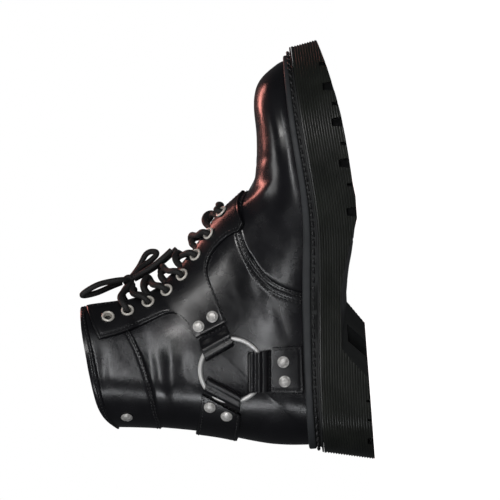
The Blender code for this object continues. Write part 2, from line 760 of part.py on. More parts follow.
def outward(ring):
    """The outward direction in plan at each point of a closed ring of x, y."""
    along = np.roll(ring, -1, axis=0) - np.roll(ring, 1, axis=0)
    out = np.stack([along[:, 1], -along[:, 0]], axis=-1)
    out /= np.linalg.norm(out, axis=1, keepdims=True)
    middle = ring.mean(axis=0)
    return out * np.sign(np.sum(out * (ring - middle), axis=1).sum())


def sole_ring(count=SOLE_STATIONS):
    """The sole's top edge in plan, in millimetres."""
    return closed_spline([(x * LENGTH, y * BALL_WIDTH) for x, y in OUTLINE], count)


def sole_side(ring, out, depth, groove=0.0):
    """The ring at a depth below the top line, flared, with a groove cut in."""
    flare = SIDE_FLARE + HEEL_FLARE * np.clip(-out[:, 0], 0, 1) ** 2
    flare = flare + TOE_FLARE * np.clip(out[:, 0], 0, 1) ** 2
    plan = ring + out * (flare * depth - groove)[:, None]
    return np.column_stack([plan, sole_top(ring[:, 0]) - depth])


def swept_rings(rings, closed_profile=False):
    """The side faces between rings of equal count."""
    count = len(rings[0])
    faces = []
    last = len(rings) if closed_profile else len(rings) - 1
    for k in range(last):
        low = k * count
        high = (k + 1) % len(rings) * count
        for i in range(count):
            j = (i + 1) % count
            faces.append([low + i, low + j, high + j, high + i])
    return faces


def cap(start, count, up):
    """A cap across a ring: strips from one side to the other."""
    faces = []
    half = count // 2
    for i in range(half):
        a, b = i, i + 1
        c, d = (count - i - 1) % count, (count - i) % count
        quad = [a, b, c] if i == 0 else ([a, b, c, d] if b != c else [a, b, d])
        faces.append([start + v for v in (quad if up else quad[::-1])])
    return faces


def cutter(name, points, faces):
    """A closed mesh that only cuts."""
    made = solid(name, points, faces, RUBBER_MADE)
    made.hide_render = True
    made.display_type = "WIRE"
    return made


def cut(target, tool, operation="DIFFERENCE"):
    modifier = target.modifiers.new(tool.name, "BOOLEAN")
    modifier.operation = operation
    modifier.solver = "EXACT"
    modifier.object = tool


def box(x0, x1, y0, y1, z0, z1):
    """The corners and faces of a box."""
    corners = [(x, y, z) for x in (x0, x1) for y in (y0, y1) for z in (z0, z1)]
    faces = [[0, 1, 3, 2], [4, 6, 7, 5], [0, 4, 5, 1], [2, 3, 7, 6], [0, 2, 6, 4], [1, 5, 7, 3]]
    return corners, faces


def outsole():
    ring = sole_ring()
    out = outward(ring)
    depth = HEEL_HEIGHT * 1.13
    levels = [(0.0, 0.0)]
    at = 0.5 * RIB_PITCH
    while at < depth:
        levels += [(at, 0.0), (at + 0.62 * RIB_PITCH, RIB_DEPTH)]
        at += RIB_PITCH
    rings = [sole_side(ring, out, d, g) for d, g in levels]
    rings.append(sole_side(ring, out, depth + 2.0))
    points = np.concatenate(rings)
    faces = swept_rings(rings)
    faces += cap(0, len(ring), True) + cap((len(rings) - 1) * len(ring), len(ring), False)
    made = solid("outsole", points, faces, RUBBER_MADE)

    rows = []
    for y, table in (
        (-0.80, UNDERSIDE_LATERAL), (-0.39, UNDERSIDE_LATERAL),
        (0.37, UNDERSIDE_MEDIAL), (0.80, UNDERSIDE_MEDIAL),
    ):
        line = [(x * LENGTH, y * BALL_WIDTH, z * HEEL_HEIGHT) for x, z in table]
        below = [(1.10 * LENGTH, y * BALL_WIDTH, -30.0), (-0.10 * LENGTH, y * BALL_WIDTH, -30.0)]
        rows.append(line + below)
    count = len(rows[0])
    flat = [p for row in rows for p in row]
    faces = []
    for i in range(3):
        for j in range(count):
            k = (j + 1) % count
            faces.append([i * count + j, i * count + k, (i + 1) * count + k, (i + 1) * count + j])
    faces.append(list(range(count))[::-1])
    faces.append([3 * count + j for j in range(count)])
    cut(made, cutter("cut_underside", flat, faces))

    under = spline([row[0] for row in UNDERSIDE_LATERAL[9:]], [row[1] for row in UNDERSIDE_LATERAL[9:]])
    lateral = ring[ring[:, 1] < 0]
    medial = ring[ring[:, 1] > 0]
    points = []
    faces = []
    for along, run, height, deep in LUG_GAPS:
        x = along * LENGTH
        low = under(along) if along > 0.57 else (0.06 if along > 0.4 else 0.0)
        top = float(low + height) * HEEL_HEIGHT
        for edge, sign in ((lateral, -1), (medial, 1)):
            order = np.argsort(edge[:, 0])
            half = abs(np.interp(x, edge[order, 0], edge[order, 1])) - deep * BALL_WIDTH
            y0, y1 = sorted((sign * half, sign * 0.75 * BALL_WIDTH))
            corners, sides = box(x - run * LENGTH / 2, x + run * LENGTH / 2, y0, y1, -9.0, top)
            faces += [[len(points) + v for v in side] for side in sides]
            points += corners
    cut(made, cutter("cut_lug_gaps", points, faces))

    corners, sides = box(-9.5, 14.0, -12.0, 12.0, -9.0, 0.36 * HEEL_HEIGHT)
    slant = math.radians(-27.0)
    turned = []
    for x, y, z in corners:
        turned.append((
            0.262 * LENGTH + x * math.cos(slant) - y * math.sin(slant),
            -0.01 * BALL_WIDTH + x * math.sin(slant) + y * math.cos(slant),
            z,
        ))
    cut(made, cutter("cut_heel_channel", turned, sides))
    return made


# The welt's rib over the sole's top line: along (share of LENGTH), height (share of HEEL_HEIGHT).
WELT_TOP = (
    (0.03, 0.300),
    (0.27, 0.318),
    (0.40, 0.340),
    (0.53, 0.309),
    (0.63, 0.260),
    (0.80, 0.245),
    (0.97, 0.180),
)
welt_top = spline([row[0] for row in WELT_TOP], [row[1] for row in WELT_TOP])
WELT_THICK = 2.9


def level_t(s, height, side):
    """t where section s stands a height over the sole's top line."""
    low = np.zeros_like(s)
    high = np.ones_like(s)
    for _ in range(40):
        t = (low + high) / 2
        p = plain_point(s, t, side)
        over = p[:, 2] - sole_top(p[:, 0]) < height(p[:, 0])
        low = np.where(over, t, low)
        high = np.where(over, high, t)
    return (low + high) / 2


def foot_ring(height, lift, count):
    """A closed ring round the upper at a height over the sole's top line, lifted off its surface."""
    halves = []

    def level(x):
        return np.maximum(height(x), 0.8)

    for side in (-1, 1):
        s = np.concatenate([np.linspace(0.15, 4, 260), np.linspace(4, 17.5, 420)])
        base = plain_point(s, np.zeros_like(s), side)
        top = plain_point(s, np.ones_like(s), side)
        fits = base[:, 2] - sole_top(base[:, 0]) <= level(base[:, 0])
        fits &= top[:, 2] - sole_top(top[:, 0]) >= level(top[:, 0])
        s = s[fits]
        t = level_t(s, level, side)
        ramp = QUARTER_STEP * np.clip((s - 10.4) / 0.6, 0, 1)
        line = point(s, t, side, ramp + lift)
        line[:, 2] = sole_top(line[:, 0]) + height(line[:, 0])
        halves.append(line)
    lateral, medial = halves
    for line in halves:
        line[0, 1] = 0.0
        line[-1, 1] = 0.0
    whole = np.concatenate([lateral[::-1], medial[1:-1]])
    return even(np.vstack([whole, whole[:1]]), count, True)


def half_shares(ring):
    """How far round a ring each point lies: 0 at the heel's back, 1 at the toe's tip, 2 at the end."""
    steps = np.linalg.norm(np.diff(ring, axis=0, append=ring[:1]), axis=1)
    run = np.concatenate([[0.0], np.cumsum(steps)])
    tip = run[int(np.argmax(ring[:, 0]))]
    return np.interp(run[:-1], [0.0, tip, run[-1]], [0.0, 1.0, 2.0])


def welt_height(share):
    return lambda x: HEEL_HEIGHT * welt_top(x / LENGTH) * share


def welt(count=60):
    inner = [
        foot_ring(lambda x: 0.3 + 0 * x, GAP + 0.35, count),
        foot_ring(welt_height(0.5), GAP + 0.55, count),
        foot_ring(welt_height(1.0), GAP + 0.55, count),
    ]
    top = inner[2]
    out = outward(top[:, :2])
    plan = top[:, :2] + out * WELT_THICK
    crest = np.column_stack([top[:, :2] + out * (WELT_THICK - 0.7), top[:, 2] + 0.1])
    rib_high = np.column_stack([plan, top[:, 2] - 0.9])
    foot = sole_top(plan[:, 0]) + HEEL_HEIGHT * welt_top(plan[:, 0] / LENGTH) * 0.40
    rib_foot = np.column_stack([plan, foot])
    edge = sole_ring(800)
    edge_out = outward(edge)
    edge = edge - edge_out * 0.5
    near = np.stack([
        np.interp(half_shares(plan), half_shares(edge), edge[:, i]) for i in (0, 1)
    ], axis=-1)
    edge_top = np.column_stack([near, sole_top(near[:, 0]) + 1.5])
    edge_low = np.column_stack([near, sole_top(near[:, 0]) + 0.35])
    rings = [inner[0], inner[1], inner[2], crest, rib_high, rib_foot, edge_top, edge_low]
    return solid("welt", np.concatenate(rings), swept_rings(rings, True), WELT_MADE)


TONGUE_THICK = 2.4
INSOLE_THICK = 3.0
# The tongue: it starts under the vamp, follows the throat and ends at the collar: row, how far it
# reaches to each side of the centre line (share of BALL_WIDTH).
TONGUE = (
    (8.2, 0.190),
    (9.0, 0.225),
    (10.0, 0.250),
    (11.0, 0.265),
    (12.0, 0.270),
    (13.0, 0.275),
    (14.0, 0.280),
    (15.2, 0.285),
    (16.4, 0.290),
    (17.6, 0.295),
    (18.8, 0.300),
    (20.0, 0.300),
    (20.8, 0.290),
)


def tongue():
    rows = np.array([row[0] for row in TONGUE])
    reach = np.array([row[1] for row in TONGUE]) * BALL_WIDTH
    sheets = []
    for lift in (-WALL - GAP - 1.3, -WALL - GAP - 1.3 - TONGUE_THICK):
        columns = []
        for side in (-1, 1):
            shares = (1.0, 0.7, 0.4) if side < 0 else (0.4, 0.7, 1.0)
            for share in shares:
                t = angle_at(rows, reach * share, side)
                columns.append(point(rows, t, side, lift))
            if side < 0:
                columns.append(point(rows, np.ones_like(rows), side, lift))
        sheets.append(np.stack(columns, axis=1))
    outer, inner = sheets
    count, across = outer.shape[:2]
    points, faces = shell(outer.reshape(-1, 3), inner.reshape(-1, 3), grid_faces(count, across))
    return solid("tongue", points, faces, LEATHER_MADE)


def insole(count=48):
    """The insole fills the foot's outline inside the wall."""
    low = foot_ring(lambda x: 0.4 + 0 * x, -WALL - GAP - 2.5, count)
    high = low.copy()
    high[:, 2] += INSOLE_THICK
    points = np.concatenate([low, high])
    faces = swept_rings([low, high]) + cap(0, count, False) + cap(count, count, True)
    return solid("insole", points, faces, LINING_MADE)


def tube(line, radius, sides):
    """A closed tube along a line, with flat ends."""
    line = np.asarray(line, float)
    along = np.gradient(line, axis=0)
    along /= np.linalg.norm(along, axis=1, keepdims=True)
    first = np.cross(along[0], [0.3, 0.2, 1.0])
    first /= np.linalg.norm(first)
    points = []
    for p, d in zip(line, along):
        first = first - d * (first @ d)
        first /= np.linalg.norm(first)
        second = np.cross(d, first)
        for j in range(sides):
            angle = 2 * math.pi * j / sides
            points.append(p + radius * (first * math.cos(angle) + second * math.sin(angle)))
    faces = []
    for i in range(len(line) - 1):
        for j in range(sides):
            a, b = i * sides + j, i * sides + (j + 1) % sides
            faces.append([a, b, b + sides, a + sides])
    faces.append(list(range(sides))[::-1])
    faces.append([(len(line) - 1) * sides + j for j in range(sides)])
    return points, faces


def smooth_line(points, count):
    """Points at equal steps along a smooth open line through the points."""
    points = np.asarray(points, float)
    run = np.concatenate([[0.0], np.cumsum(np.linalg.norm(np.diff(points, axis=0), axis=1))])
    dense = np.linspace(0, run[-1], 600)
    line = np.stack([spline(run, points[:, i])(dense) for i in range(3)], axis=-1)
    return even(line, count)


LACED = 7
OVER_EYELET = 4.2
OVER_EDGE = 1.7
OVER_THROAT = 2.6


def lace_over(k, side, lift):
    """A point over eyelet k."""
    x, z = EYELETS[k]
    lift = lift + (2.4 if k == 0 else 0.0)
    return mount(x * LENGTH, z * SHAFT_HEIGHT, side, STRAP_THICK + GAP + lift)[0]


def lace_centre(k, share, lift):
    """A point over the tongue on the centre line, between the heights of eyelets k and k + 1."""
    a = (lace_over(k, -1, 0) + lace_over(k, 1, 0)) / 2
    b = (lace_over(min(k + 1, 7), -1, 0) + lace_over(min(k + 1, 7), 1, 0)) / 2
    here = a + (b - a) * share
    rows = np.linspace(9.0, TOP_ROW, 600)
    line = point(rows, np.ones_like(rows), 1, 0.0)
    i = int(np.argmin((line[:, 0] - here[0]) ** 2 + (line[:, 2] - here[2]) ** 2))
    return point(rows[i], 1.0, 1, lift)


def lace_edge(k, share, side):
    """A point over the throat's edge, between the heights of eyelets k and k + 1."""
    found = []
    for n in (k, min(k + 1, 7)):
        x, z = EYELETS[n]
        found.append(find(x * LENGTH, z * SHAFT_HEIGHT, side)[0])
    s = found[0] + (found[1] - found[0]) * share
    t = float(throat_edge(s, side)) - 0.02
    lift = float(base_lift(s, t, side)) + GAP + STRAP_THICK + OVER_EDGE + LACE_DIAMETER / 2
    lift = lift + (2.8 if k == 0 else 0.0)
    return point(s, t, side, lift)


def lace_crossings():
    """The bars and crossings over the tongue, joined: each run goes from eyelet to eyelet."""
    radius = LACE_DIAMETER / 2
    made = None
    for start in (-1, 1):
        side = start
        line = []
        for k in range(LACED):
            line.append(lace_over(k, side, OVER_EYELET + radius))
            if k < LACED - 1:
                line.append(lace_edge(k, 0.27, side))
                line.append(lace_centre(k, 0.5, OVER_THROAT + radius + 1.0))
                line.append(lace_edge(k, 0.73, -side))
            side = -side
        points, faces = tube(smooth_line(line, 6 * LACED - 3), radius, 5)
        if made is None:
            made = solid("lace_crossings", points, faces, LACE_MADE)
        else:
            cut(made, cutter("join_lace_back", points, faces), "UNION")
    bar = [lace_over(0, -1, OVER_EYELET + radius), lace_edge(0, -0.05, -1)]
    bar += [lace_centre(0, -0.1, OVER_THROAT + radius + 1.0), lace_edge(0, -0.05, 1)]
    bar.append(lace_over(0, 1, OVER_EYELET + radius))
    points, faces = tube(smooth_line(bar, 8), radius, 5)
    cut(made, cutter("join_lace_bar", points, faces), "UNION")
    return made


# The bow over the sixth and seventh eyelet pairs: offsets from the knot's centre, in shares of
# LACE_DIAMETER. Loops and ends start and stop against the knot.
KNOT_SIZE = 1.7
BOW = {
    "lace_knot": ((0.0, -1.2, 0.0), (0.12, 0.0, 0.08), (0.0, 1.2, 0.0)),
    "lace_loop_lateral": (
        (0.02, -1.58, 0.03), (0.15, -2.5, 0.5), (0.0, -3.7, 3.4), (-1.0, -4.7, 6.6), (-1.9, -4.3, 7.9),
        (-1.9, -3.3, 6.4), (-1.0, -1.6, 3.4), (-0.28, -0.75, 1.20),
    ),
    "lace_loop_medial": (
        (0.02, 1.58, -0.02), (0.4, 2.5, -0.35), (2.7, 3.6, -2.2), (4.6, 4.2, -3.9), (4.4, 3.7, -5.0),
        (3.0, 2.9, -3.8), (1.95, 1.95, -2.1), (0.76, 0.98, -1.04),
    ),
    "lace_end_lateral": ((0.35, -0.77, -0.94), (1.0, -1.1, -2.3), (2.5, -1.5, -5.0), (4.6, -1.9, -7.8)),
    "lace_end_medial": ((0.15, 0.30, -1.00), (0.85, 0.2, -2.6), (2.45, 0.5, -5.6), (4.75, 1.2, -8.6)),
}
KNOT_AT = (5, 0.62)


def cord(name, table):
    """A free length of lace: a tube along a smooth curve through its route points."""
    radius = LACE_DIAMETER / 2
    knot = KNOT_SIZE * radius
    centre = lace_centre(KNOT_AT[0], KNOT_AT[1], OVER_THROAT + LACE_DIAMETER + 0.55 + knot)
    points = [centre + np.array(row) * LACE_DIAMETER for row in table]
    rough = sum(math.dist(a, b) for a, b in zip(points, points[1:]))
    line = smooth_line(points, max(4, int(rough / (2.0 * LACE_DIAMETER)) + 2))
    data = bpy.data.curves.new(name, "CURVE")
    data.dimensions = "3D"
    data.bevel_depth = (knot if name == "lace_knot" else radius) * MM
    data.bevel_resolution = 2
    data.use_fill_caps = True
    track = data.splines.new("POLY")
    track.points.add(len(line) - 1)
    for spot, p in zip(track.points, line):
        spot.co = ((p[0] - HEEL_MIDDLE * LENGTH) * MM, p[1] * MM, p[2] * MM, 1.0)
    made = bpy.data.objects.new(name, data)
    bpy.context.scene.collection.objects.link(made)
    data.materials.append(LACE_MADE)
    return made


LEATHER_MADE = material(*LEATHER)
LINING_MADE = material(*LINING)
RUBBER_MADE = material(*RUBBER)
WELT_MADE = material(*WELT)
LACE_MADE = material(*LACE)
NICKEL_MADE = material(*NICKEL)
CREAM_MADE = material(*CREAM)


def upper():
    """The upper: one hollow shell, open at the collar, at the throat and underneath."""
    outer, faces = upper_sheet(step_height)
    inner = upper_sheet(lambda s, across: -WALL + 0 * s)[0]
    kept, faces, index = merged(outer, faces)
    under = np.zeros_like(kept)
    for place, p in zip(index, inner):
        under[place] = p
    points, faces = shell(kept, under, faces)
    return solid("upper", points, faces, LEATHER_MADE)


def eyestay(name, side):
    s, t = edge_grid(EYESTAY_EDGE, side, EYESTAY_ACROSS)
    low = base_lift(s, t, side) + GAP
    points, faces = patch(s, t, side, low, low + STRAP_THICK)
    return solid(name, points, faces, LEATHER_MADE)


def seen_grid(rows, side):
    """The (s, t) grid of rows of points seen from the side."""
    found = np.array([[find(x, z, side) for x, z in row] for row in rows])
    return found[..., 0], found[..., 1]


def strap_lines():
    """The side strap's lines seen from the side, in millimetres: the last one clears the welt."""
    lines = np.array(SIDE_STRAP) * (LENGTH, SHAFT_HEIGHT)
    x = lines[-1][:, 0]
    lines[-1][:, 1] = sole_top(x) + HEEL_HEIGHT * welt_top(x / LENGTH) + STRAP_OVER_WELT
    return lines


def side_strap(name, side):
    along = np.linspace(0, 1, 5)
    lines = strap_lines()
    knots = np.linspace(0, 1, len(lines))
    edges = []
    for edge in (0, 1):
        line = lines[:, edge]
        edges.append(np.stack([spline(knots, line[:, i])(along) for i in (0, 1)], axis=-1))
    across = np.linspace(0, 1, 6)[None, :, None]
    s, t = seen_grid(edges[0][:, None] + (edges[1] - edges[0])[:, None] * across, side)
    low = QUARTER_STEP + GAP
    points, faces = patch(s, t, side, low, low + STRAP_THICK)
    return solid(name, points, faces, LEATHER_MADE)


def heel_strap(columns=6, stations=8):
    """One strap round the back, from the lateral ring to the medial one."""
    rows = np.linspace(HEEL_ROW, TOP_ROW, 600)
    back_x, back_z = anchors(rows)[:2]
    first = np.array(HEEL_STRAP) * (LENGTH, SHAFT_HEIGHT)
    z_back = np.linspace(HEEL_STRAP_BACK[0], HEEL_STRAP_BACK[1], columns) * SHAFT_HEIGHT
    row_back = np.interp(z_back, back_z, rows)
    turn = (1 - np.arange(stations) / (stations - 1)) * math.pi / 2
    run = 1 - np.cos(turn)
    low = QUARTER_STEP + GAP + 0.2
    outer = []
    inner = []
    for side in (-1, 1):
        seen = []
        for k in range(stations - 1):
            line = []
            for j in range(columns):
                start = first[0] + (first[1] - first[0]) * j / (columns - 1)
                end = np.array([np.interp(z_back[j], back_z, back_x), z_back[j]])
                x = end[0] + (start[0] - end[0]) * run[k]
                line.append((x, end[1] + (start[1] - end[1]) * run[k] ** 0.7))
            seen.append(line)
        s, t = seen_grid(seen, side)
        s = np.vstack([s, row_back])
        t = np.vstack([t, np.zeros(columns)])
        for lift, sheet in ((low + STRAP_THICK, outer), (low, inner)):
            half = point(s, t, side, lift)
            sheet.append(half if side < 0 else half[::-1][1:])
    outer = np.concatenate(outer)
    inner = np.concatenate(inner)
    points, faces = shell(outer.reshape(-1, 3), inner.reshape(-1, 3), grid_faces(len(outer), columns))
    return solid("heel_strap", points, faces, LEATHER_MADE)


def rivet(name, x, z, side, on_cuff):
    at = mount(x * LENGTH, z * SHAFT_HEIGHT, side, 0.5 if on_cuff else STRAP_THICK + GAP + 0.5)
    radius = RIVET_DIAMETER / 2
    profile = ((0.0, 0.0), (radius, 0.0), (radius * 0.8, 1.2), (0.0, 1.9))
    return spun(name, at, profile, 10, NICKEL_MADE)


def eyelet(name, x, z, side):
    at = mount(x * LENGTH, z * SHAFT_HEIGHT, side, STRAP_THICK + GAP + 0.45)
    outer, hole = EYELET_OUTER / 2, EYELET_HOLE / 2
    profile = ((hole, 0.0), (outer, 0.0), ((outer + hole) / 2, 1.1))
    return spun(name, at, profile, 10, CREAM_MADE)


outsole()
welt()
upper()
tongue()
insole()
heel_strap()
for side, word in ((-1, "lateral"), (1, "medial")):
    eyestay("eyestay_" + word, side)
    side_strap("side_strap_" + word, side)
    frame = ring_frame(side)
    torus("ring_" + word, *frame, RING_RADIUS, RING_WIRE, 24, 6, NICKEL_MADE)
    for key in FOLDS:
        fold_loop(key + "_loop_" + word, key, side, frame, LEATHER_MADE)
    for place, x, z in RIVETS:
        rivet("rivet_" + place + "_" + word, x, z, side, place == "cuff")
    for k, (x, z) in enumerate(EYELETS):
        eyelet("eyelet_" + str(k + 1) + "_" + word, x, z, side)
lace_crossings()
for name, table in BOW.items():
    cord(name, table)
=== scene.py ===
"""The dressed harness ankle boot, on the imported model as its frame.

The upper is drawn again from the same section tables as the solids, in fine steps, with its
creases, seams and stitches. Tables and working points are in millimetres with x from the heel's
back edge; in_frame moves them to the frame's origin, in metres.
"""

import functools
import math

import bmesh
import bpy
import numpy as np
from mathutils import Matrix, Vector, kdtree


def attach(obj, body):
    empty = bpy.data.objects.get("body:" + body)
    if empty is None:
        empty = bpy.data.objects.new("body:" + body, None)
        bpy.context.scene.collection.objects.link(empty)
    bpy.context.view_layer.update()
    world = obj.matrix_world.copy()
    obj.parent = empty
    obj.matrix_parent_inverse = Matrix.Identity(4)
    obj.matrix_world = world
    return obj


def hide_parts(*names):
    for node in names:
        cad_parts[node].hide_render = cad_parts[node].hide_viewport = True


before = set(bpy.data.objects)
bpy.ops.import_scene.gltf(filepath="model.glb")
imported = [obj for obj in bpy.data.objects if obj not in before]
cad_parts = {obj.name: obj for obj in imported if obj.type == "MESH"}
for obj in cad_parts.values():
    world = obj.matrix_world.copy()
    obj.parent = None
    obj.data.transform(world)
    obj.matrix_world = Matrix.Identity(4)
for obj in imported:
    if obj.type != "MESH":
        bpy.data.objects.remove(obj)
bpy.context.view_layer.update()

MM = 0.001

# The boot's own sizes, in millimetres.
LENGTH = 290.0
BALL_WIDTH = 98.0
SHAFT_HEIGHT = 163.0
HEEL_HEIGHT = 34.0
WALL = 2.0
GAP = 0.45
QUARTER_STEP = 1.0
CUFF_STEP = 1.8
BINDING_STEP = 2.6
STRAP_THICK = 2.0
RIB_PITCH = 1.75
RIB_DEPTH = 0.7
LACE_DIAMETER = 4.0
EYELET_OUTER = 9.0
EYELET_HOLE = 5.6
RIVET_DIAMETER = 8.0
RING_RADIUS = 21.4
RING_WIRE = 3.0
HEEL_MIDDLE = 0.12

# The sole's top line: along (share of LENGTH), height (share of HEEL_HEIGHT).
SOLE_TOP = (
    (0.00, 1.00),
    (0.17, 0.985),
    (0.33, 0.905),
    (0.46, 0.825),
    (0.555, 0.79),
    (0.655, 0.84),
    (0.77, 0.935),
    (0.876, 1.01),
    (0.96, 1.06),
    (1.00, 1.08),
)

# The sections of the upper, from the toe's tip up to the collar. Each plane runs from a base point
# to a top point. top_x, base_x: shares of LENGTH. top_up, base_up: shares of SHAFT_HEIGHT over the
# sole's top line. base_lat, base_med, half_lat, half_med: shares of BALL_WIDTH. wide_at: where
# along the section it is widest. square: the shoulder's exponent. throat: half the opening, a
# share of BALL_WIDTH.
COLUMNS = "top_x top_up base_x base_up base_lat base_med half_lat half_med wide_at square throat"
SECTIONS = (
    (0.954, 0.006, 0.954, 0.004, 0.000, 0.000, 0.004, 0.004, 0.45, 2.2, 0.00),
    (0.952, 0.046, 0.949, 0.004, 0.085, 0.115, 0.100, 0.130, 0.45, 2.2, 0.00),
    (0.940, 0.086, 0.935, 0.004, 0.165, 0.205, 0.195, 0.235, 0.42, 2.25, 0.00),
    (0.920, 0.134, 0.910, 0.004, 0.255, 0.285, 0.295, 0.325, 0.40, 2.3, 0.00),
    (0.889, 0.173, 0.876, 0.004, 0.335, 0.355, 0.380, 0.405, 0.38, 2.3, 0.00),
    (0.842, 0.192, 0.829, 0.004, 0.405, 0.410, 0.452, 0.458, 0.36, 2.25, 0.00),
    (0.790, 0.197, 0.774, 0.004, 0.455, 0.435, 0.498, 0.483, 0.35, 2.2, 0.00),
    (0.734, 0.212, 0.714, 0.004, 0.473, 0.437, 0.512, 0.484, 0.34, 2.15, 0.00),
    (0.688, 0.232, 0.652, 0.004, 0.463, 0.408, 0.500, 0.458, 0.34, 2.1, 0.00),
    (0.655, 0.270, 0.586, 0.004, 0.433, 0.362, 0.470, 0.420, 0.34, 2.1, 0.075),
    (0.628, 0.338, 0.517, 0.004, 0.387, 0.316, 0.430, 0.380, 0.35, 2.25, 0.105),
    (0.592, 0.421, 0.438, 0.004, 0.333, 0.280, 0.392, 0.350, 0.36, 2.35, 0.120),
    (0.548, 0.492, 0.352, 0.004, 0.298, 0.268, 0.368, 0.338, 0.38, 2.4, 0.125),
    (0.503, 0.566, 0.255, 0.004, 0.292, 0.286, 0.355, 0.342, 0.42, 2.4, 0.130),
    (0.465, 0.646, 0.148, 0.004, 0.297, 0.297, 0.349, 0.344, 0.44, 2.4, 0.132),
    (0.441, 0.718, 0.048, 0.004, 0.000, 0.000, 0.344, 0.342, 0.46, 2.35, 0.135),
    (0.428, 0.788, 0.052, 0.150, 0.000, 0.000, 0.338, 0.338, 0.48, 2.3, 0.138),
    (0.422, 0.848, 0.066, 0.285, 0.000, 0.000, 0.336, 0.336, 0.49, 2.25, 0.142),
    (0.419, 0.894, 0.088, 0.425, 0.000, 0.000, 0.342, 0.342, 0.50, 2.2, 0.146),
    (0.416, 0.934, 0.105, 0.570, 0.000, 0.000, 0.356, 0.356, 0.50, 2.2, 0.150),
    (0.413, 0.968, 0.118, 0.720, 0.000, 0.000, 0.374, 0.374, 0.50, 2.2, 0.155),
    (0.410, 0.996, 0.126, 0.862, 0.000, 0.000, 0.388, 0.388, 0.50, 2.2, 0.160),
)
# The collar's line over the straight plane of the last section: share of the way from the back
# to the front, rise (share of SHAFT_HEIGHT).
COLLAR_RISE = (
    (0.00, 0.000),
    (0.04, 0.020),
    (0.13, 0.044),
    (0.28, 0.050),
    (0.45, 0.045),
    (0.63, 0.035),
    (0.80, 0.027),
    (0.94, 0.014),
    (1.00, 0.003),
)
HEEL_ROW = 15
TURN_ROW = 14
THROAT_ROW = 8.9
TOP_ROW = len(SECTIONS) - 1


def spline(knots, values):
    """A natural cubic spline through the values, as a function of an array."""
    knots = np.asarray(knots, float)
    values = np.asarray(values, float)
    n = len(knots)
    step = np.diff(knots)
    matrix = np.eye(n)
    right = np.zeros(n)
    for i in range(1, n - 1):
        matrix[i, i - 1 : i + 2] = step[i - 1], 2 * (step[i - 1] + step[i]), step[i]
        rise = np.diff(values[i - 1 : i + 2]) / step[i - 1 : i + 1]
        right[i] = 6 * (rise[1] - rise[0])
    bend = np.linalg.solve(matrix, right)

    def at(x):
        x = np.clip(np.asarray(x, float), knots[0], knots[-1])
        i = np.clip(np.searchsorted(knots, x, side="right") - 1, 0, n - 2)
        h = step[i]
        left = (knots[i + 1] - x) / h
        near = (x - knots[i]) / h
        cubic = ((left**3 - left) * bend[i] + (near**3 - near) * bend[i + 1]) * h**2 / 6
        return left * values[i] + near * values[i + 1] + cubic

    return at


def table_spline(table):
    """A spline through a table of knots and values."""
    return spline(*zip(*table))


def splined(knots, points, at):
    """A smooth line through points that stand at knots, read at other places."""
    return np.stack([spline(knots, column)(at) for column in np.transpose(points)], axis=-1)


def travelled(line):
    """How far along a line each of its points lies."""
    return np.concatenate([[0.0], np.cumsum(np.linalg.norm(np.diff(line, axis=0), axis=1))])


def read_line(line, run, at):
    """The line's points at distances along it: run holds how far its own points lie."""
    return np.stack([np.interp(at, run, column) for column in np.transpose(line)], axis=-1)


def unit(vectors):
    """The vectors along the last axis, each with length 1."""
    return vectors / np.maximum(np.linalg.norm(vectors, axis=-1, keepdims=True), 1e-9)


def bell(distance, half):
    """1 on a line, and smoothly less on both sides of it."""
    return np.exp(-((distance / half) ** 2))


sole_top_share = table_spline(SOLE_TOP)
collar_rise = table_spline(COLLAR_RISE)


def sole_top(x):
    """The height of the sole's top line at x."""
    return HEEL_HEIGHT * sole_top_share(np.asarray(x, float) / LENGTH)


def section_splines():
    """One function of the row number for each column of SECTIONS."""
    rows = np.arange(len(SECTIONS))
    made = {}
    for i, name in enumerate(COLUMNS.split()):
        values = np.array([row[i] for row in SECTIONS])
        if not name.startswith("base"):
            made[name] = spline(rows, values)
            continue
        low = spline(rows[: TURN_ROW + 1], values[: TURN_ROW + 1])
        high = spline(rows[HEEL_ROW:], values[HEEL_ROW:])
        made[name] = low, high, values[TURN_ROW], values[HEEL_ROW]
    return made


COLUMN = section_splines()


def base_column(name, s):
    """A base column: a spline to the heel's turn, a quarter round behind it, a spline up the back."""
    low, high, turn, heel = COLUMN[name]
    angle = np.clip(HEEL_ROW - s, 0, 1) * math.pi / 2
    share = np.sin(angle) if name in ("base_lat", "base_med") else 1 - np.cos(angle)
    quarter = heel + (turn - heel) * share
    return np.where(s <= TURN_ROW, low(s), np.where(s < HEEL_ROW, quarter, high(s)))


def anchors(s):
    """The base and top points of the section plane s, in the plane y = 0."""
    s = np.asarray(s, float)
    top_x = LENGTH * COLUMN["top_x"](s)
    top_z = sole_top(top_x) + SHAFT_HEIGHT * COLUMN["top_up"](s)
    base_x = LENGTH * base_column("base_x", s)
    base_z = sole_top(base_x) + SHAFT_HEIGHT * base_column("base_up", s)
    return base_x, base_z, top_x, top_z


def section(s, side):
    """The numbers of the half section s: side is -1 for lateral and 1 for medial."""
    s = np.asarray(s, float)
    base_x, base_z, top_x, top_z = anchors(s)
    height = np.hypot(top_x - base_x, top_z - base_z)
    which = "lat" if side < 0 else "med"
    wide = BALL_WIDTH * np.maximum(COLUMN["half_" + which](s), 0.003)
    base = BALL_WIDTH * np.maximum(base_column("base_" + which, s), 0.0)
    start = np.arcsin(np.clip(base / wide, 0, 0.985))
    widest = COLUMN["wide_at"](s) * height
    return base_x, base_z, top_x, top_z, height, wide, start, widest, COLUMN["square"](s)


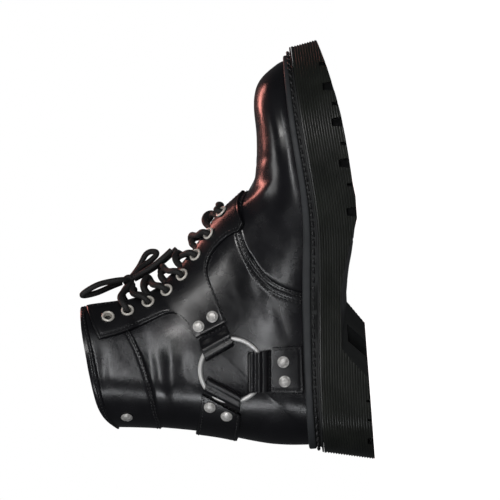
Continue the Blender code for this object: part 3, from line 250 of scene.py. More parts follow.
def plain_point(s, t, side):
    """The upper's own surface with no step: t runs from 0 at the base to 1 at the centre line."""
    base_x, base_z, top_x, top_z, height, wide, start, widest, square = section(s, side)
    a = start + (math.pi - start) * t
    cosine = np.cos(a)
    sine = np.sin(a)
    upper = (np.abs(cosine) ** square + np.abs(sine) ** square) ** (-1 / square)
    up_upper = widest + (height - widest) * upper * np.abs(cosine)
    up_lower = widest - widest / np.cos(start) * cosine
    up = np.where(cosine > 0, up_lower, up_upper)
    out = np.where(cosine > 0, wide * sine, wide * upper * sine)
    share = up / np.maximum(height, 1e-6)
    x = base_x + (top_x - base_x) * share
    z = base_z + (top_z - base_z) * share
    ramp = np.clip((s - 17.5) / (TOP_ROW - 17.5), 0, 1)
    z = z + SHAFT_HEIGHT * collar_rise(share) * ramp**2 * (3 - 2 * ramp)
    return np.stack([x, side * out, z], axis=-1)


def point(s, t, side, lift=0.0):
    """A point of the upper's surface, lifted along its outward normal."""
    s, t, lift = np.broadcast_arrays(
        np.asarray(s, float), np.asarray(t, float), np.asarray(lift, float)
    )
    at = plain_point(s, t, side)
    s0 = np.clip(s - 0.04, 0.12, TOP_ROW - 0.08)
    s1 = np.maximum(np.clip(s + 0.04, 0.12, TOP_ROW), s0 + 0.08)
    t0 = np.clip(t - 0.01, 0.0, 0.98)
    along = plain_point(s1, np.clip(t, 0.01, 0.99), side) - plain_point(s0, np.clip(t, 0.01, 0.99), side)
    inside = np.clip(s, 0.12, TOP_ROW)
    across = plain_point(inside, t0 + 0.02, side) - plain_point(inside, t0, side)
    normal = np.cross(along, across) * side
    centre = (t > 0.999) | ((t < 0.001) & (s >= HEEL_ROW))
    normal[..., 1] = np.where(centre, 0.0, normal[..., 1])
    return at + unit(normal) * lift[..., None]


def angle_at(s, y, side):
    """t where the front half of section s stands y from the centre line."""
    values = section(s, side)
    wide, start = values[5], values[6]
    a = math.pi - np.arcsin(np.clip(y / wide, 0, 1))
    return (a - start) / (math.pi - start)


def throat_edge(s, side):
    """t of the throat's edge at section s, 1 where the front is closed."""
    s = np.asarray(s, float)
    opening = np.minimum(COLUMN["throat"](s), 0.105 * np.sqrt(np.clip(s - THROAT_ROW, 0, None)))
    opening = np.where(s > 11, COLUMN["throat"](s), opening)
    edge = angle_at(s, BALL_WIDTH * np.maximum(opening, 0), side)
    return np.where(s <= THROAT_ROW, 1.0, edge)


def seen_tree(side):
    """A lookup of the surface's points by where they are seen from the side."""
    s = np.concatenate([np.linspace(0.3, 13.6, 260), np.linspace(13.65, TOP_ROW, 300)])
    t = np.linspace(0.0, 1.0, 90)
    rows, shares = np.meshgrid(s, t, indexing="ij")
    at = plain_point(rows, shares, side)
    tree = kdtree.KDTree(rows.size)
    flat = at.reshape(-1, 3)
    for i in range(rows.size):
        tree.insert((flat[i, 0], 0.0, flat[i, 2]), i)
    tree.balance()
    return tree, rows.reshape(-1), shares.reshape(-1)


SEEN = {side: seen_tree(side) for side in (-1, 1)}


def find(x, z, side):
    """(s, t) of the surface points seen from the side at x, z: arrays of any shape."""
    x, z = np.broadcast_arrays(np.asarray(x, float), np.asarray(z, float))
    tree, rows, shares = SEEN[side]
    start = [tree.find((a, 0.0, b))[1] for a, b in zip(x.reshape(-1), z.reshape(-1))]
    s = rows[start].reshape(x.shape)
    t = shares[start].reshape(x.shape)
    for _ in range(12):
        s0 = np.clip(s - 0.01, 0.2, TOP_ROW - 0.02)
        t0 = np.clip(t - 0.004, 0.0, 0.992)
        at = plain_point(s, t, side)
        ds = (plain_point(s0 + 0.02, t, side) - plain_point(s0, t, side)) / 0.02
        dt = (plain_point(s, t0 + 0.008, side) - plain_point(s, t0, side)) / 0.008
        miss_x, miss_z = x - at[..., 0], z - at[..., 2]
        det = ds[..., 0] * dt[..., 2] - ds[..., 2] * dt[..., 0]
        det = np.where(np.abs(det) < 1e-6, 1e-6, det)
        step_s = (miss_x * dt[..., 2] - miss_z * dt[..., 0]) / det
        step_t = (ds[..., 0] * miss_z - ds[..., 2] * miss_x) / det
        s = np.clip(s + np.clip(step_s, -0.2, 0.2), 0.2, TOP_ROW)
        t = np.clip(t + np.clip(step_t, -0.04, 0.04), 0.0, 1.0)
    return s, t


def surface_normal(s, t, side):
    """The outward normal at (s, t)."""
    return point(s, t, side, 1.0) - point(s, t, side, 0.0)


def smooth_ramp(x, low, high):
    """0 below low, 1 above high, smooth between."""
    share = np.clip((x - low) / (high - low), 0, 1)
    return share**2 * (3 - 2 * share)


def even(line, count, closed=False):
    """Points at equal steps along a line; a closed one leaves its last point out."""
    run = travelled(line)
    return read_line(line, run, np.linspace(0, run[-1], count + closed)[:count])


def smooth_line(points, count):
    """Points at equal steps along a smooth open line through the points."""
    run = travelled(points)
    return even(splined(run, points, np.linspace(0, run[-1], 900)), count)


def length_of(line):
    """How long a line is."""
    return float(travelled(line)[-1])


def grid_faces(rows, columns, start=0):
    """The quads of a grid of points, row after row."""
    i, j = np.meshgrid(np.arange(rows - 1), np.arange(columns - 1), indexing="ij")
    a = start + i * columns + j
    return np.stack([a, a + 1, a + columns + 1, a + columns], axis=-1).reshape(-1, 4)


def ring_faces(rings, around, closed=False):
    """The quads between rings of equal count, one after another."""
    last = rings if closed else rings - 1
    i, j = np.meshgrid(np.arange(last), np.arange(around), indexing="ij")
    low = i * around
    high = (i + 1) % rings * around
    k = (j + 1) % around
    return np.stack([low + j, low + k, high + k, high + j], axis=-1).reshape(-1, 4)


def in_frame(points):
    """Points in the frame's metres."""
    return (np.asarray(points, float) - (HEEL_MIDDLE * LENGTH, 0.0, 0.0)) * MM


def linked(name, data):
    """A new object in the scene."""
    made = bpy.data.objects.new(name, data)
    bpy.context.scene.collection.objects.link(made)
    return made


def face_outward(mesh, weld=0.0):
    """Welds points nearer than weld and turns a closed mesh's faces outward."""
    built = bmesh.new()
    built.from_mesh(mesh)
    if weld:
        bmesh.ops.remove_doubles(built, verts=built.verts, dist=weld)
    bmesh.ops.recalc_face_normals(built, faces=built.faces)
    if built.calc_volume(signed=True) < 0:
        bmesh.ops.reverse_faces(built, faces=built.faces)
    built.to_mesh(mesh)
    built.free()


def piece(name, points, faces, finish, slot, nodes=(), sharp=35.0, closed=True, second=None):
    """One shown piece from points in millimetres: it rides on the root and stands for its nodes.

    sharp is the angle in degrees past which an edge shows, and second holds another finish with the
    numbers of the faces that it is on.
    """
    mesh = bpy.data.meshes.new(name)
    mesh.from_pydata(in_frame(points).tolist(), [], [list(map(int, face)) for face in faces])
    if closed:
        face_outward(mesh)
    mesh.shade_smooth()
    mesh.set_sharp_from_angle(angle=math.radians(sharp))
    mesh.materials.append(finish)
    if second is not None:
        mesh.materials.append(second[0])
        marks = np.zeros(len(mesh.polygons), np.int32)
        marks[second[1]] = 1
        mesh.polygons.foreach_set("material_index", marks)
    made = linked(name, mesh)
    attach(made, "root")
    if nodes:
        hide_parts(*nodes)
    return made


def tool_mesh(name, points, faces, finish=None):
    """A closed mesh that only cuts: the walls that it leaves have its finish."""
    mesh = bpy.data.meshes.new(name)
    mesh.from_pydata(in_frame(points).tolist(), [], [tuple(face) for face in faces])
    face_outward(mesh, 1e-6)
    if finish is not None:
        mesh.materials.append(finish)
    return linked(name, mesh)


def apply_cut(made, tool):
    """Cuts the tool from a piece and removes the tool."""
    modifier = made.modifiers.new("cut", "BOOLEAN")
    modifier.operation = "DIFFERENCE"
    modifier.solver = "EXACT"
    modifier.material_mode = "TRANSFER"
    modifier.object = tool
    graph = bpy.context.evaluated_depsgraph_get()
    mesh = bpy.data.meshes.new_from_object(made.evaluated_get(graph))
    made.modifiers.clear()
    made.data = mesh
    bpy.data.objects.remove(tool)


def joined(parts):
    """The points and faces of several meshes as one."""
    points, faces = [], []
    start = 0
    for these, sides in parts:
        faces += [[v + start for v in face] for face in sides]
        points.append(np.asarray(these, float))
        start += len(these)
    return np.concatenate(points), faces


def shell(outer, inner, faces):
    """A closed solid between two sheets of the same faces: inner holds outer's points, moved in."""
    count = len(outer)
    faces = [tuple(int(v) for v in face) for face in faces]
    edges = set()
    for face in faces:
        edges.update(zip(face, face[1:] + face[:1]))
    rim = [(a, b) for a, b in edges if (b, a) not in edges]
    made = faces + [tuple(count + v for v in reversed(face)) for face in faces]
    made += [(b, a, count + a, count + b) for a, b in rim]
    return np.concatenate([outer, inner]), made


def merged(points, faces, near=0.02):
    """The sheet with points that meet made one, and empty faces dropped."""
    keys = {}
    index = []
    kept = []
    for p in points:
        key = tuple(np.round(p / near).astype(int))
        if key not in keys:
            keys[key] = len(kept)
            kept.append(p)
        index.append(keys[key])
    made = []
    for face in faces:
        face = [index[v] for v in face]
        face = [v for i, v in enumerate(face) if v != face[i - 1]]
        if len(set(face)) >= 3 and len(set(face)) == len(face):
            made.append(face)
    return np.array(kept), made, index


# The photo shows the boot turned on its side: the toe up and the sole to the right. The camera is
# rolled to match, level with the floor, and far away, as the photo's perspective is slight.
LOOK_AT = Vector((0.1142, 0.0, 0.0747))
CAMERA_DISTANCE = 4.0
CAMERA_HEIGHT = 0.005
PICTURE_SIDE = 0.3423
PICTURE_RIGHT = Vector((-0.0741, 0.0, -0.99725))
SENSOR = 36.0


def make_camera():
    data = bpy.data.cameras.new("camera")
    made = linked("camera", data)
    made.location = (LOOK_AT.x, -CAMERA_DISTANCE, CAMERA_HEIGHT)
    back = (made.location - LOOK_AT).normalized()
    right = (PICTURE_RIGHT - back * PICTURE_RIGHT.dot(back)).normalized()
    up = back.cross(right)
    made.rotation_mode = "QUATERNION"
    made.rotation_quaternion = Matrix((right, up, back)).transposed().to_quaternion()
    data.sensor_width = SENSOR
    data.lens = SENSOR * CAMERA_DISTANCE / PICTURE_SIDE
    data.clip_start = 0.1
    data.clip_end = 60.0
    data.dof.use_dof = False
    bpy.context.scene.camera = made


make_camera()


def node(tree, kind, inputs=None, **settings):
    """A new shader node: inputs are values or sockets to link."""
    made = tree.nodes.new(kind)
    for key, value in settings.items():
        setattr(made, key, value)
    for key, value in (inputs or {}).items():
        if isinstance(value, bpy.types.NodeSocket):
            tree.links.new(value, made.inputs[key])
        else:
            made.inputs[key].default_value = value
    return made


def noise(tree, where, scale, detail=2.0, roughness=0.5):
    """A noise texture's value: scale is in waves to the metre."""
    values = {"Vector": where, "Scale": scale, "Detail": detail, "Roughness": roughness}
    return node(tree, "ShaderNodeTexNoise", values).outputs["Fac"]


def remap(tree, value, low, high, from_low=0.3, from_high=0.7):
    """A value between two numbers moved to lie between two others."""
    values = {"Value": value, "From Min": from_low, "From Max": from_high, "To Min": low, "To Max": high}
    return node(tree, "ShaderNodeMapRange", values).outputs["Result"]


def mixed(tree, share, first, second):
    """A colour between two others."""
    values = {0: share, 6: (*first, 1.0), 7: (*second, 1.0)}
    return node(tree, "ShaderNodeMix", values, data_type="RGBA").outputs[2]


def maths(tree, operation, *values):
    """A Math node's value."""
    return node(tree, "ShaderNodeMath", dict(enumerate(values)), operation=operation).outputs[0]


def bumped(tree, layers):
    """A chain of bumps: (height socket, strength, distance in metres)."""
    normal = None
    for height, strength, distance in layers:
        values = {"Height": height, "Strength": strength, "Distance": distance}
        if normal is not None:
            values["Normal"] = normal
        normal = node(tree, "ShaderNodeBump", values).outputs["Normal"]
    return normal


COAT_ROUGHNESS = 0.22


def finish(name, dark, light, rough, layers, scale=30.0, metallic=0.0, coat=0.0, sheen=0.0):
    """A procedural finish: colour and roughness vary with noise, and layers are its bumps.

    A layer is its kind, its scale, its strength and its height in metres.
    """
    made = bpy.data.materials.new(name)
    made.use_nodes = True
    tree = made.node_tree
    shader = tree.nodes["Principled BSDF"]
    where = node(tree, "ShaderNodeTexCoord").outputs["Object"]
    blot = noise(tree, where, scale, 4.0)
    tree.links.new(mixed(tree, remap(tree, blot, 0.0, 1.0), dark, light), shader.inputs["Base Color"])
    sheen_noise = noise(tree, where, scale * 2.3, 3.0)
    tree.links.new(remap(tree, sheen_noise, rough[0], rough[1]), shader.inputs["Roughness"])
    heights = []
    for kind, size, strength, distance in layers:
        if kind == "noise":
            height = noise(tree, where, size, 4.0, 0.6)
        else:
            cells = {"Vector": where, "Scale": size}
            height = node(tree, "ShaderNodeTexVoronoi", cells, feature="F1").outputs["Distance"]
        heights.append((height, strength, distance))
    tree.links.new(bumped(tree, heights), shader.inputs["Normal"])
    shader.inputs["Metallic"].default_value = metallic
    shader.inputs["Coat Weight"].default_value = coat
    shader.inputs["Coat Roughness"].default_value = COAT_ROUGHNESS
    shader.inputs["Sheen Weight"].default_value = sheen
    return made


FINE_NOISE = ("noise", 2600.0, 0.10, 0.00008)
GRAIN = (("noise", 26.0, 0.35, 0.0012), ("cells", 1500.0, 0.12, 0.00010), FINE_NOISE)
STRAP_GRAIN = (
    ("noise", 90.0, 0.30, 0.0005), ("cells", 1300.0, 0.16, 0.00012), ("noise", 2400.0, 0.12, 0.00008),
)
LEATHER = finish(
    "polished_leather", (0.0050, 0.0050, 0.0062), (0.0105, 0.0102, 0.0125), (0.19, 0.31), GRAIN,
    coat=0.20,
)
STRAP_LEATHER = finish(
    "strap_leather", (0.0052, 0.0052, 0.0062), (0.0105, 0.0102, 0.0120), (0.22, 0.36), STRAP_GRAIN,
    coat=0.15,
)
TONGUE_LEATHER = finish(
    "tongue_leather", (0.007, 0.0065, 0.0075), (0.014, 0.012, 0.013), (0.38, 0.52), STRAP_GRAIN,
)
LINING = finish(
    "dark_lining", (0.016, 0.012, 0.010), (0.030, 0.022, 0.018), (0.70, 0.88),
    (("noise", 120.0, 0.3, 0.0005), ("cells", 900.0, 0.25, 0.00015)), sheen=0.1,
)
RUBBER = finish(
    "ribbed_rubber", (0.0120, 0.0132, 0.0112), (0.0225, 0.0245, 0.0205), (0.28, 0.42),
    (("noise", 1500.0, 0.2, 0.00008),), scale=45.0,
)
WELT = finish(
    "grey_welt", (0.022, 0.024, 0.0265), (0.034, 0.037, 0.040), (0.50, 0.64),
    (("noise", 1100.0, 0.25, 0.0001),), scale=45.0,
)
# Painted shade: a darker copy of the welt's rubber. It goes on the welt's recess and band under the rib, and
# on the walls of the lug gaps and the heel channel.
WELT_PAINTED_SHADE = finish(
    "welt_band_painted_shade", (0.008, 0.009, 0.009), (0.014, 0.015, 0.015), (0.55, 0.7),
    (("noise", 900.0, 0.3, 0.00015),),
)
THREAD = finish(
    "black_thread", (0.006, 0.006, 0.007), (0.024, 0.024, 0.025), (0.38, 0.52),
    (("noise", 3500.0, 0.4, 0.0001),), scale=400.0,
)
NICKEL = finish(
    "worn_nickel", (0.38, 0.37, 0.35), (0.92, 0.90, 0.87), (0.30, 0.46),
    (("noise", 520.0, 0.45, 0.0003), ("noise", 1800.0, 0.15, 0.00005)), scale=420.0, metallic=0.35,
)
RING_METAL = finish(
    "ring_nickel", (0.80, 0.79, 0.77), (0.92, 0.91, 0.89), (0.30, 0.42),
    (("noise", 300.0, 0.10, 0.0001),), scale=120.0, metallic=0.30,
)
CREAM = finish(
    "pale_eyelet", (0.74, 0.70, 0.63), (0.88, 0.84, 0.77), (0.30, 0.44),
    (("noise", 500.0, 0.15, 0.0001),), scale=300.0, metallic=0.30,
)


def lace_finish():
    """Braided cord: crossing diagonal strands along the tube's own length, from its own map."""
    made = bpy.data.materials.new("braided_lace")
    made.use_nodes = True
    tree = made.node_tree
    shader = tree.nodes["Principled BSDF"]
    where = node(tree, "ShaderNodeUVMap", uv_map="braid").outputs["UV"]
    split = node(tree, "ShaderNodeSeparateXYZ", {"Vector": where}).outputs
    heights = []
    for turn in (1.0, -1.0):
        both = maths(tree, "ADD", split["X"], maths(tree, "MULTIPLY", split["Y"], turn))
        heights.append(maths(tree, "ABSOLUTE", maths(tree, "SINE", maths(tree, "MULTIPLY", both, math.pi))))
    most = maths(tree, "MAXIMUM", *heights)
    # The cord's colour is darker where the strands dip: painted shade in the grooves between strands.
    shade = remap(tree, most, 0.0, 1.0, 0.55, 1.0)
    colour = mixed(tree, shade, (0.003, 0.003, 0.003), (0.012, 0.0115, 0.0115))
    tree.links.new(colour, shader.inputs["Base Color"])
    fuzz = noise(tree, node(tree, "ShaderNodeTexCoord").outputs["Object"], 2600.0)
    layers = [(most, 0.6, 0.0004), (fuzz, 0.3, 0.0001)]
    tree.links.new(bumped(tree, layers), shader.inputs["Normal"])
    tree.links.new(remap(tree, fuzz, 0.55, 0.75), shader.inputs["Roughness"])
    shader.inputs["Sheen Weight"].default_value = 0.04
    return made


LACE = lace_finish()

# The vamp seam, where the quarter's front edge lies over the vamp: across (0 at the base, 1 at the
# throat), section row; then the cuff's lower line and the binding's lower line, as in the solids.
VAMP_SEAM = (
    (0.00, 11.45),
    (0.20, 11.75),
    (0.38, 11.85),
    (0.52, 11.55),
    (0.64, 11.00),
    (0.74, 10.35),
    (0.84, 9.70),
    (0.92, 9.25),
    (1.00, 9.05),
)
CUFF_LINE = ((0.0, 19.70), (0.25, 19.35), (0.5, 18.85), (0.75, 18.20), (1.0, 17.60))
BINDING_LINE = ((0.0, 20.93), (0.25, 20.78), (0.5, 20.62), (0.75, 20.50), (1.0, 20.42))
vamp_seam = table_spline(VAMP_SEAM)
cuff_line = table_spline(CUFF_LINE)
binding_line = table_spline(BINDING_LINE)
STEP_RUN = 0.05


def step_height(s, across):
    """How far the wall stands over the vamp, with soft edges on each step."""
    height = 0.0
    below = 0.0
    for line, step in ((vamp_seam, QUARTER_STEP), (cuff_line, CUFF_STEP), (binding_line, BINDING_STEP)):
        height = height + (step - below) * smooth_ramp(s, line(across), line(across) + STEP_RUN)
        below = step
    return height


def base_lift(s, t, side):
    """Where a strap lies: over the wall's steps, rising smoothly ahead of the cuff and the binding."""
    across = np.clip(t / throat_edge(s, side), 0, 1)
    ease = smooth_ramp(s, cuff_line(across) - 0.75, cuff_line(across) - 0.15)
    rise = QUARTER_STEP + (CUFF_STEP - QUARTER_STEP) * ease
    return np.maximum(rise, step_height(s, across))


# Soft creases in the leather: from and to as seen from the side, in shares of LENGTH and
# SHAFT_HEIGHT, how far the line bows toward the toe (mm), half width (mm) and height (mm).
CREASES = (
    ((0.640, 0.34), (0.600, 0.56), 4.0, 3.0, -0.55),
    ((0.668, 0.33), (0.636, 0.53), 4.0, 3.4, 0.40),
    ((0.690, 0.33), (0.668, 0.50), 4.0, 3.0, -0.42),
    ((0.720, 0.34), (0.706, 0.48), 3.0, 3.6, 0.25),
    ((0.735, 0.33), (0.730, 0.46), 3.0, 2.8, -0.22),
    ((0.520, 0.42), (0.455, 0.40), -3.0, 3.0, -0.35),
    ((0.505, 0.47), (0.400, 0.44), -3.0, 3.4, 0.35),
    ((0.500, 0.53), (0.395, 0.50), -2.0, 3.2, -0.45),
    ((0.470, 0.38), (0.330, 0.36), -3.0, 4.4, 0.30),
    ((0.400, 0.40), (0.300, 0.33), 2.0, 3.4, -0.30),
    ((0.300, 0.76), (0.200, 0.74), -3.0, 4.0, 0.40),
    ((0.310, 0.80), (0.130, 0.80), -3.5, 3.2, -0.45),
    ((0.330, 0.85), (0.190, 0.87), -2.0, 4.0, 0.30),
    ((0.300, 0.91), (0.120, 0.90), 2.0, 3.0, -0.30),
    ((0.120, 0.45), (0.060, 0.52), 2.0, 3.4, -0.35),
    ((0.110, 0.40), (0.050, 0.44), 2.0, 3.6, 0.28),
    ((0.150, 0.36), (0.060, 0.34), 1.0, 3.8, -0.25),
    ((0.320, 1.10), (0.200, 1.115), 1.0, 3.6, -0.30),
    ((0.130, 0.86), (0.100, 0.97), 2.0, 3.0, -0.25),
)


def in_side_view(shares):
    """Places seen from the side in millimetres, from shares of LENGTH and SHAFT_HEIGHT."""
    return np.array(shares) * (LENGTH, SHAFT_HEIGHT)


def crease_relief(points, side):
    """The creases' height over points of the plain surface."""
    height = np.zeros(points.shape[:-1])
    for start, end, bow, width, depth in CREASES:
        a, b = in_side_view([start, end])
        run = np.linalg.norm(b - a)
        along = (b - a) / run
        across = np.array([-along[1], along[0]])
        x = points[..., 0] - a[0]
        z = points[..., 2] - a[1]
        share = (x * along[0] + z * along[1]) / run
        inside = np.clip(share, 0, 1)
        off = x * across[0] + z * across[1] + bow * side * 4 * inside * (1 - inside)
        fade = smooth_ramp(share, -0.12, 0.3) * (1 - smooth_ramp(share, 0.7, 1.12))
        height += depth * bell(off, width) * fade
    return height


# Stitch rows: how far they lie behind the vamp seam and the cuff's lower line in millimetres, and
# where the binding's row lies between the binding's two edges.
SEAM_OFFSETS = (2.0, 3.6, 6.6, 8.2)
SEAM_RIDGE = 5.1
CUFF_OFFSETS = (1.6, 3.4)
BINDING_SHARE = 0.42
SEAM_DIP = 0.28
CUFF_DIP = 0.20
BINDING_DIP = 0.35
BINDING_ROLL = 0.9


def seam_relief(s, across, side):
    """The shallow dip under each stitch row, the ridge between them and the roll of the binding."""
    t = across * throat_edge(s, side)
    ahead = plain_point(np.clip(s + 0.05, 0, TOP_ROW), t, side)
    pace = np.linalg.norm(ahead - plain_point(np.clip(s, 0, TOP_ROW - 0.001), t, side), axis=-1) / 0.05
    pace = np.maximum(pace, 1.0)
    behind = (s - vamp_seam(across)) * pace
    over = (s - cuff_line(across)) * pace
    height = 0.35 * bell(behind - SEAM_RIDGE, 1.2)
    for offset in SEAM_OFFSETS:
        height -= SEAM_DIP * bell(behind - offset, 0.9)
    for offset in CUFF_OFFSETS:
        height -= CUFF_DIP * bell(over - offset, 0.8)
    band = (s - binding_line(across)) / np.maximum(TOP_ROW - binding_line(across), 0.01)
    roll = BINDING_ROLL * np.sin(math.pi * np.clip(band, 0, 1)) - 0.25
    height += np.where((band > 0) & (band < 1), roll, 0.0)
    return height - BINDING_DIP * bell(band - BINDING_SHARE, 0.09)


UPPER_ACROSS = 50


FIRST_ROW = 0.06


def upper_rows(across):
    """The fine mesh's section rows at a share of the way across, gathered at the steps."""
    seam, cuff, binding = (float(line(across)) for line in (vamp_seam, cuff_line, binding_line))
    step = STEP_RUN * np.array([0.25, 0.5, 0.75, 1.0])
    parts = [FIRST_ROW + (seam - FIRST_ROW) * np.linspace(0, 1, 92) ** 0.9]
    stretches = (
        (seam, ((seam + 0.55, 16), (14.0, 24), (15.0, 22), (cuff, 46))),
        (cuff, ((cuff + 0.6, 14), (binding, 18))),
        (binding, ((TOP_ROW, 9),)),
    )
    for start, stops in stretches:
        parts.append(start + step)
        for stop, count in stops:
            parts.append(np.linspace(parts[-1][-1], stop, count)[1:])
    return np.concatenate(parts)


def upper_side(side, lift_of):
    """One half of a sheet of the upper, and the shape of its grid."""
    columns = np.linspace(0, 1, UPPER_ACROSS)
    s = np.stack([upper_rows(a) for a in columns])
    across = np.broadcast_to(columns[:, None], s.shape)
    t = across * throat_edge(s, side)
    return point(s, t, side, lift_of(s, across, side, t)), s.shape


def outer_lift(s, across, side, t):
    """The dressed upper's height over the plain surface: steps, creases and stitch rows."""
    ends = smooth_ramp(across, 0.0, 0.05)
    front = 1 - smooth_ramp(across, 0.93, 1.0) * (s > THROAT_ROW)
    creases = crease_relief(plain_point(s, t, side), side) * ends * front
    creases *= smooth_ramp(TOP_ROW - s, 0.0, 0.6)
    return step_height(s, across) + creases + seam_relief(s, across, side) * ends


def make_upper():
    """The hollow upper: leather outside, the lining inside."""
    sheets = []
    for lift_of in (outer_lift, lambda s, across, side, t: -WALL):
        halves = [upper_side(side, lift_of) for side in (-1, 1)]
        sheets.append(np.concatenate([half[0].reshape(-1, 3) for half in halves]))
    columns, rows = halves[0][1]
    faces = grid_faces(columns, rows)
    faces = np.concatenate([faces, faces[:, ::-1] + columns * rows]).tolist()
    kept, faces, index = merged(sheets[0], faces)
    under = np.zeros_like(kept)
    under[index] = sheets[1]
    count = len(faces)
    points, faces = shell(kept, under, faces)
    inside = np.arange(count, 2 * count)
    piece(
        "upper_dressed", points, faces, LEATHER, "black_leather", ["upper"], sharp=50.0,
        second=(LINING, inside),
    )


make_upper()


# The outsole's top edge seen from above: along (share of LENGTH), across (share of BALL_WIDTH,
# minus is lateral), from the heel's back round the lateral side and the toe.
OUTLINE = (
    (0.024, 0.000),
    (0.041, -0.204),
    (0.083, -0.332),
    (0.155, -0.378),
    (0.241, -0.367),
    (0.345, -0.362),
    (0.448, -0.408),
    (0.552, -0.480),
    (0.655, -0.531),
    (0.741, -0.539),
    (0.828, -0.490),
    (0.903, -0.378),
    (0.955, -0.224),
    (0.980, -0.071),
    (0.986, 0.036),
    (0.978, 0.148),
    (0.952, 0.286),
    (0.903, 0.403),
    (0.828, 0.485),
    (0.741, 0.510),
    (0.655, 0.485),
    (0.552, 0.408),
    (0.448, 0.337),
    (0.345, 0.321),
    (0.241, 0.347),
    (0.155, 0.372),
    (0.083, 0.332),
    (0.041, 0.204),
)
SIDE_FLARE = 0.10
HEEL_FLARE = 0.11
TOE_FLARE = 0.10
SOLE_STATIONS = 300
# The underside on the lateral and on the medial side: along (share of LENGTH), height (share of
# HEEL_HEIGHT). The heel's front face slants from one to the other.
UNDERSIDE_FORE = (
    (0.570, 0.000), (0.621, 0.000), (0.655, 0.038), (0.707, 0.070), (0.759, 0.112), (0.810, 0.165),
    (0.855, 0.235), (0.897, 0.315), (0.934, 0.390), (0.972, 0.485), (1.000, 0.560), (1.100, 0.800),
)
UNDERSIDE_LATERAL = (
    (-0.10, 0.000), (0.193, 0.000), (0.265, 0.500), (0.310, 0.480), (0.370, 0.465), (0.414, 0.405),
    (0.465, 0.300), (0.510, 0.180), (0.545, 0.080),
) + UNDERSIDE_FORE
UNDERSIDE_MEDIAL = (
    (-0.10, 0.000), (0.324, 0.000), (0.379, 0.323), (0.400, 0.318), (0.428, 0.280), (0.459, 0.230),
    (0.490, 0.160), (0.517, 0.110), (0.545, 0.065),
) + UNDERSIDE_FORE
# Gaps between the lugs at the sole's lower edge: along, run, height, depth inward, in the shares of
# LENGTH, LENGTH, HEEL_HEIGHT and BALL_WIDTH.
LUG_GAPS = (
    (0.0462, 0.024, 0.118, 0.16),
    (0.0965, 0.010, 0.088, 0.12),
    (0.1414, 0.010, 0.088, 0.12),
    (0.5207, 0.010, 0.088, 0.12),
    (0.5852, 0.030, 0.205, 0.20),
    (0.6483, 0.013, 0.125, 0.16),
    (0.7000, 0.031, 0.215, 0.22),
    (0.7448, 0.013, 0.125, 0.16),
    (0.7966, 0.031, 0.215, 0.22),
    (0.8397, 0.013, 0.125, 0.16),
    (0.8817, 0.031, 0.205, 0.19),
    (0.9362, 0.014, 0.130, 0.13),
)


def closed_spline(points, count):
    """Points at equal steps round a smooth closed line through the points, from the first."""
    wrapped = points[-4:] + points + points[:5]
    run = travelled(wrapped)
    dense = np.linspace(run[4], run[4 + len(points)], 1600)
    return even(splined(run, wrapped, dense), count, True)


def outward(ring):
    """The outward direction in plan at each point of a closed ring of x, y."""
    along = np.roll(ring, -1, axis=0) - np.roll(ring, 1, axis=0)
    out = unit(np.stack([along[:, 1], -along[:, 0]], axis=-1))
    return out * np.sign(np.sum(out * (ring - ring.mean(axis=0))))


def sole_ring(count=SOLE_STATIONS):
    """The sole's top edge in plan, in millimetres."""
    return closed_spline([(x * LENGTH, y * BALL_WIDTH) for x, y in OUTLINE], count)


def sole_side(ring, out, depth, groove=0.0):
    """The ring at a depth below the top line, flared, with a groove cut in."""
    flare = SIDE_FLARE + HEEL_FLARE * np.clip(-out[:, 0], 0, 1) ** 2
    flare = flare + TOE_FLARE * np.clip(out[:, 0], 0, 1) ** 2
    plan = ring + out * (flare * depth - groove)[:, None]
    return np.column_stack([plan, sole_top(ring[:, 0]) - depth])


def cap(start, count, up):
    """A cap across a ring: strips from one side to the other."""
    faces = []
    half = count // 2
    for i in range(half):
        a, b = i, i + 1
        c, d = (count - i - 1) % count, (count - i) % count
        quad = [a, b, c] if i == 0 else ([a, b, c, d] if b != c else [a, b, d])
        faces.append([start + v for v in (quad if up else quad[::-1])])
    return faces


def box(x0, x1, y0, y1, z0, z1):
    """The corners and faces of a box."""
    corners = [(x, y, z) for x in (x0, x1) for y in (y0, y1) for z in (z0, z1)]
    faces = [[0, 1, 3, 2], [4, 6, 7, 5], [0, 4, 5, 1], [2, 3, 7, 6], [0, 2, 6, 4], [1, 5, 7, 3]]
    return corners, faces


# The welt's rib over the sole's top line: along (share of LENGTH), height (share of HEEL_HEIGHT).
WELT_TOP = (
    (0.03, 0.300),
    (0.27, 0.318),
    (0.40, 0.340),
    (0.53, 0.309),
    (0.63, 0.260),
    (0.80, 0.245),
    (0.97, 0.180),
)
welt_top = table_spline(WELT_TOP)
WELT_THICK = 2.9


def level_t(s, height, side):
    """t where section s stands a height over the sole's top line."""
    low = np.zeros_like(s)
    high = np.ones_like(s)
    for _ in range(40):
        t = (low + high) / 2
        p = plain_point(s, t, side)
        over = p[:, 2] - sole_top(p[:, 0]) < height(p[:, 0])
        low = np.where(over, t, low)
        high = np.where(over, high, t)
    return (low + high) / 2


def foot_ring(height, lift, count):
    """A closed ring round the upper at a height over the sole's top line, lifted off its surface."""
    halves = []

    def level(x):
        return np.maximum(height(x), 0.8)

    for side in (-1, 1):
        s = np.concatenate([np.linspace(0.15, 4, 260), np.linspace(4, 17.5, 420)])
        base = plain_point(s, np.zeros_like(s), side)
        top = plain_point(s, np.ones_like(s), side)
        fits = base[:, 2] - sole_top(base[:, 0]) <= level(base[:, 0])
        fits &= top[:, 2] - sole_top(top[:, 0]) >= level(top[:, 0])
        s = s[fits]
        t = level_t(s, level, side)
        ramp = QUARTER_STEP * np.clip((s - 10.4) / 0.6, 0, 1)
        line = point(s, t, side, ramp + lift)
        line[:, 2] = sole_top(line[:, 0]) + height(line[:, 0])
        halves.append(line)
    lateral, medial = halves
    for line in halves:
        line[0, 1] = 0.0
        line[-1, 1] = 0.0
    whole = np.concatenate([lateral[::-1], medial[1:-1]])
    return even(np.vstack([whole, whole[:1]]), count, True)


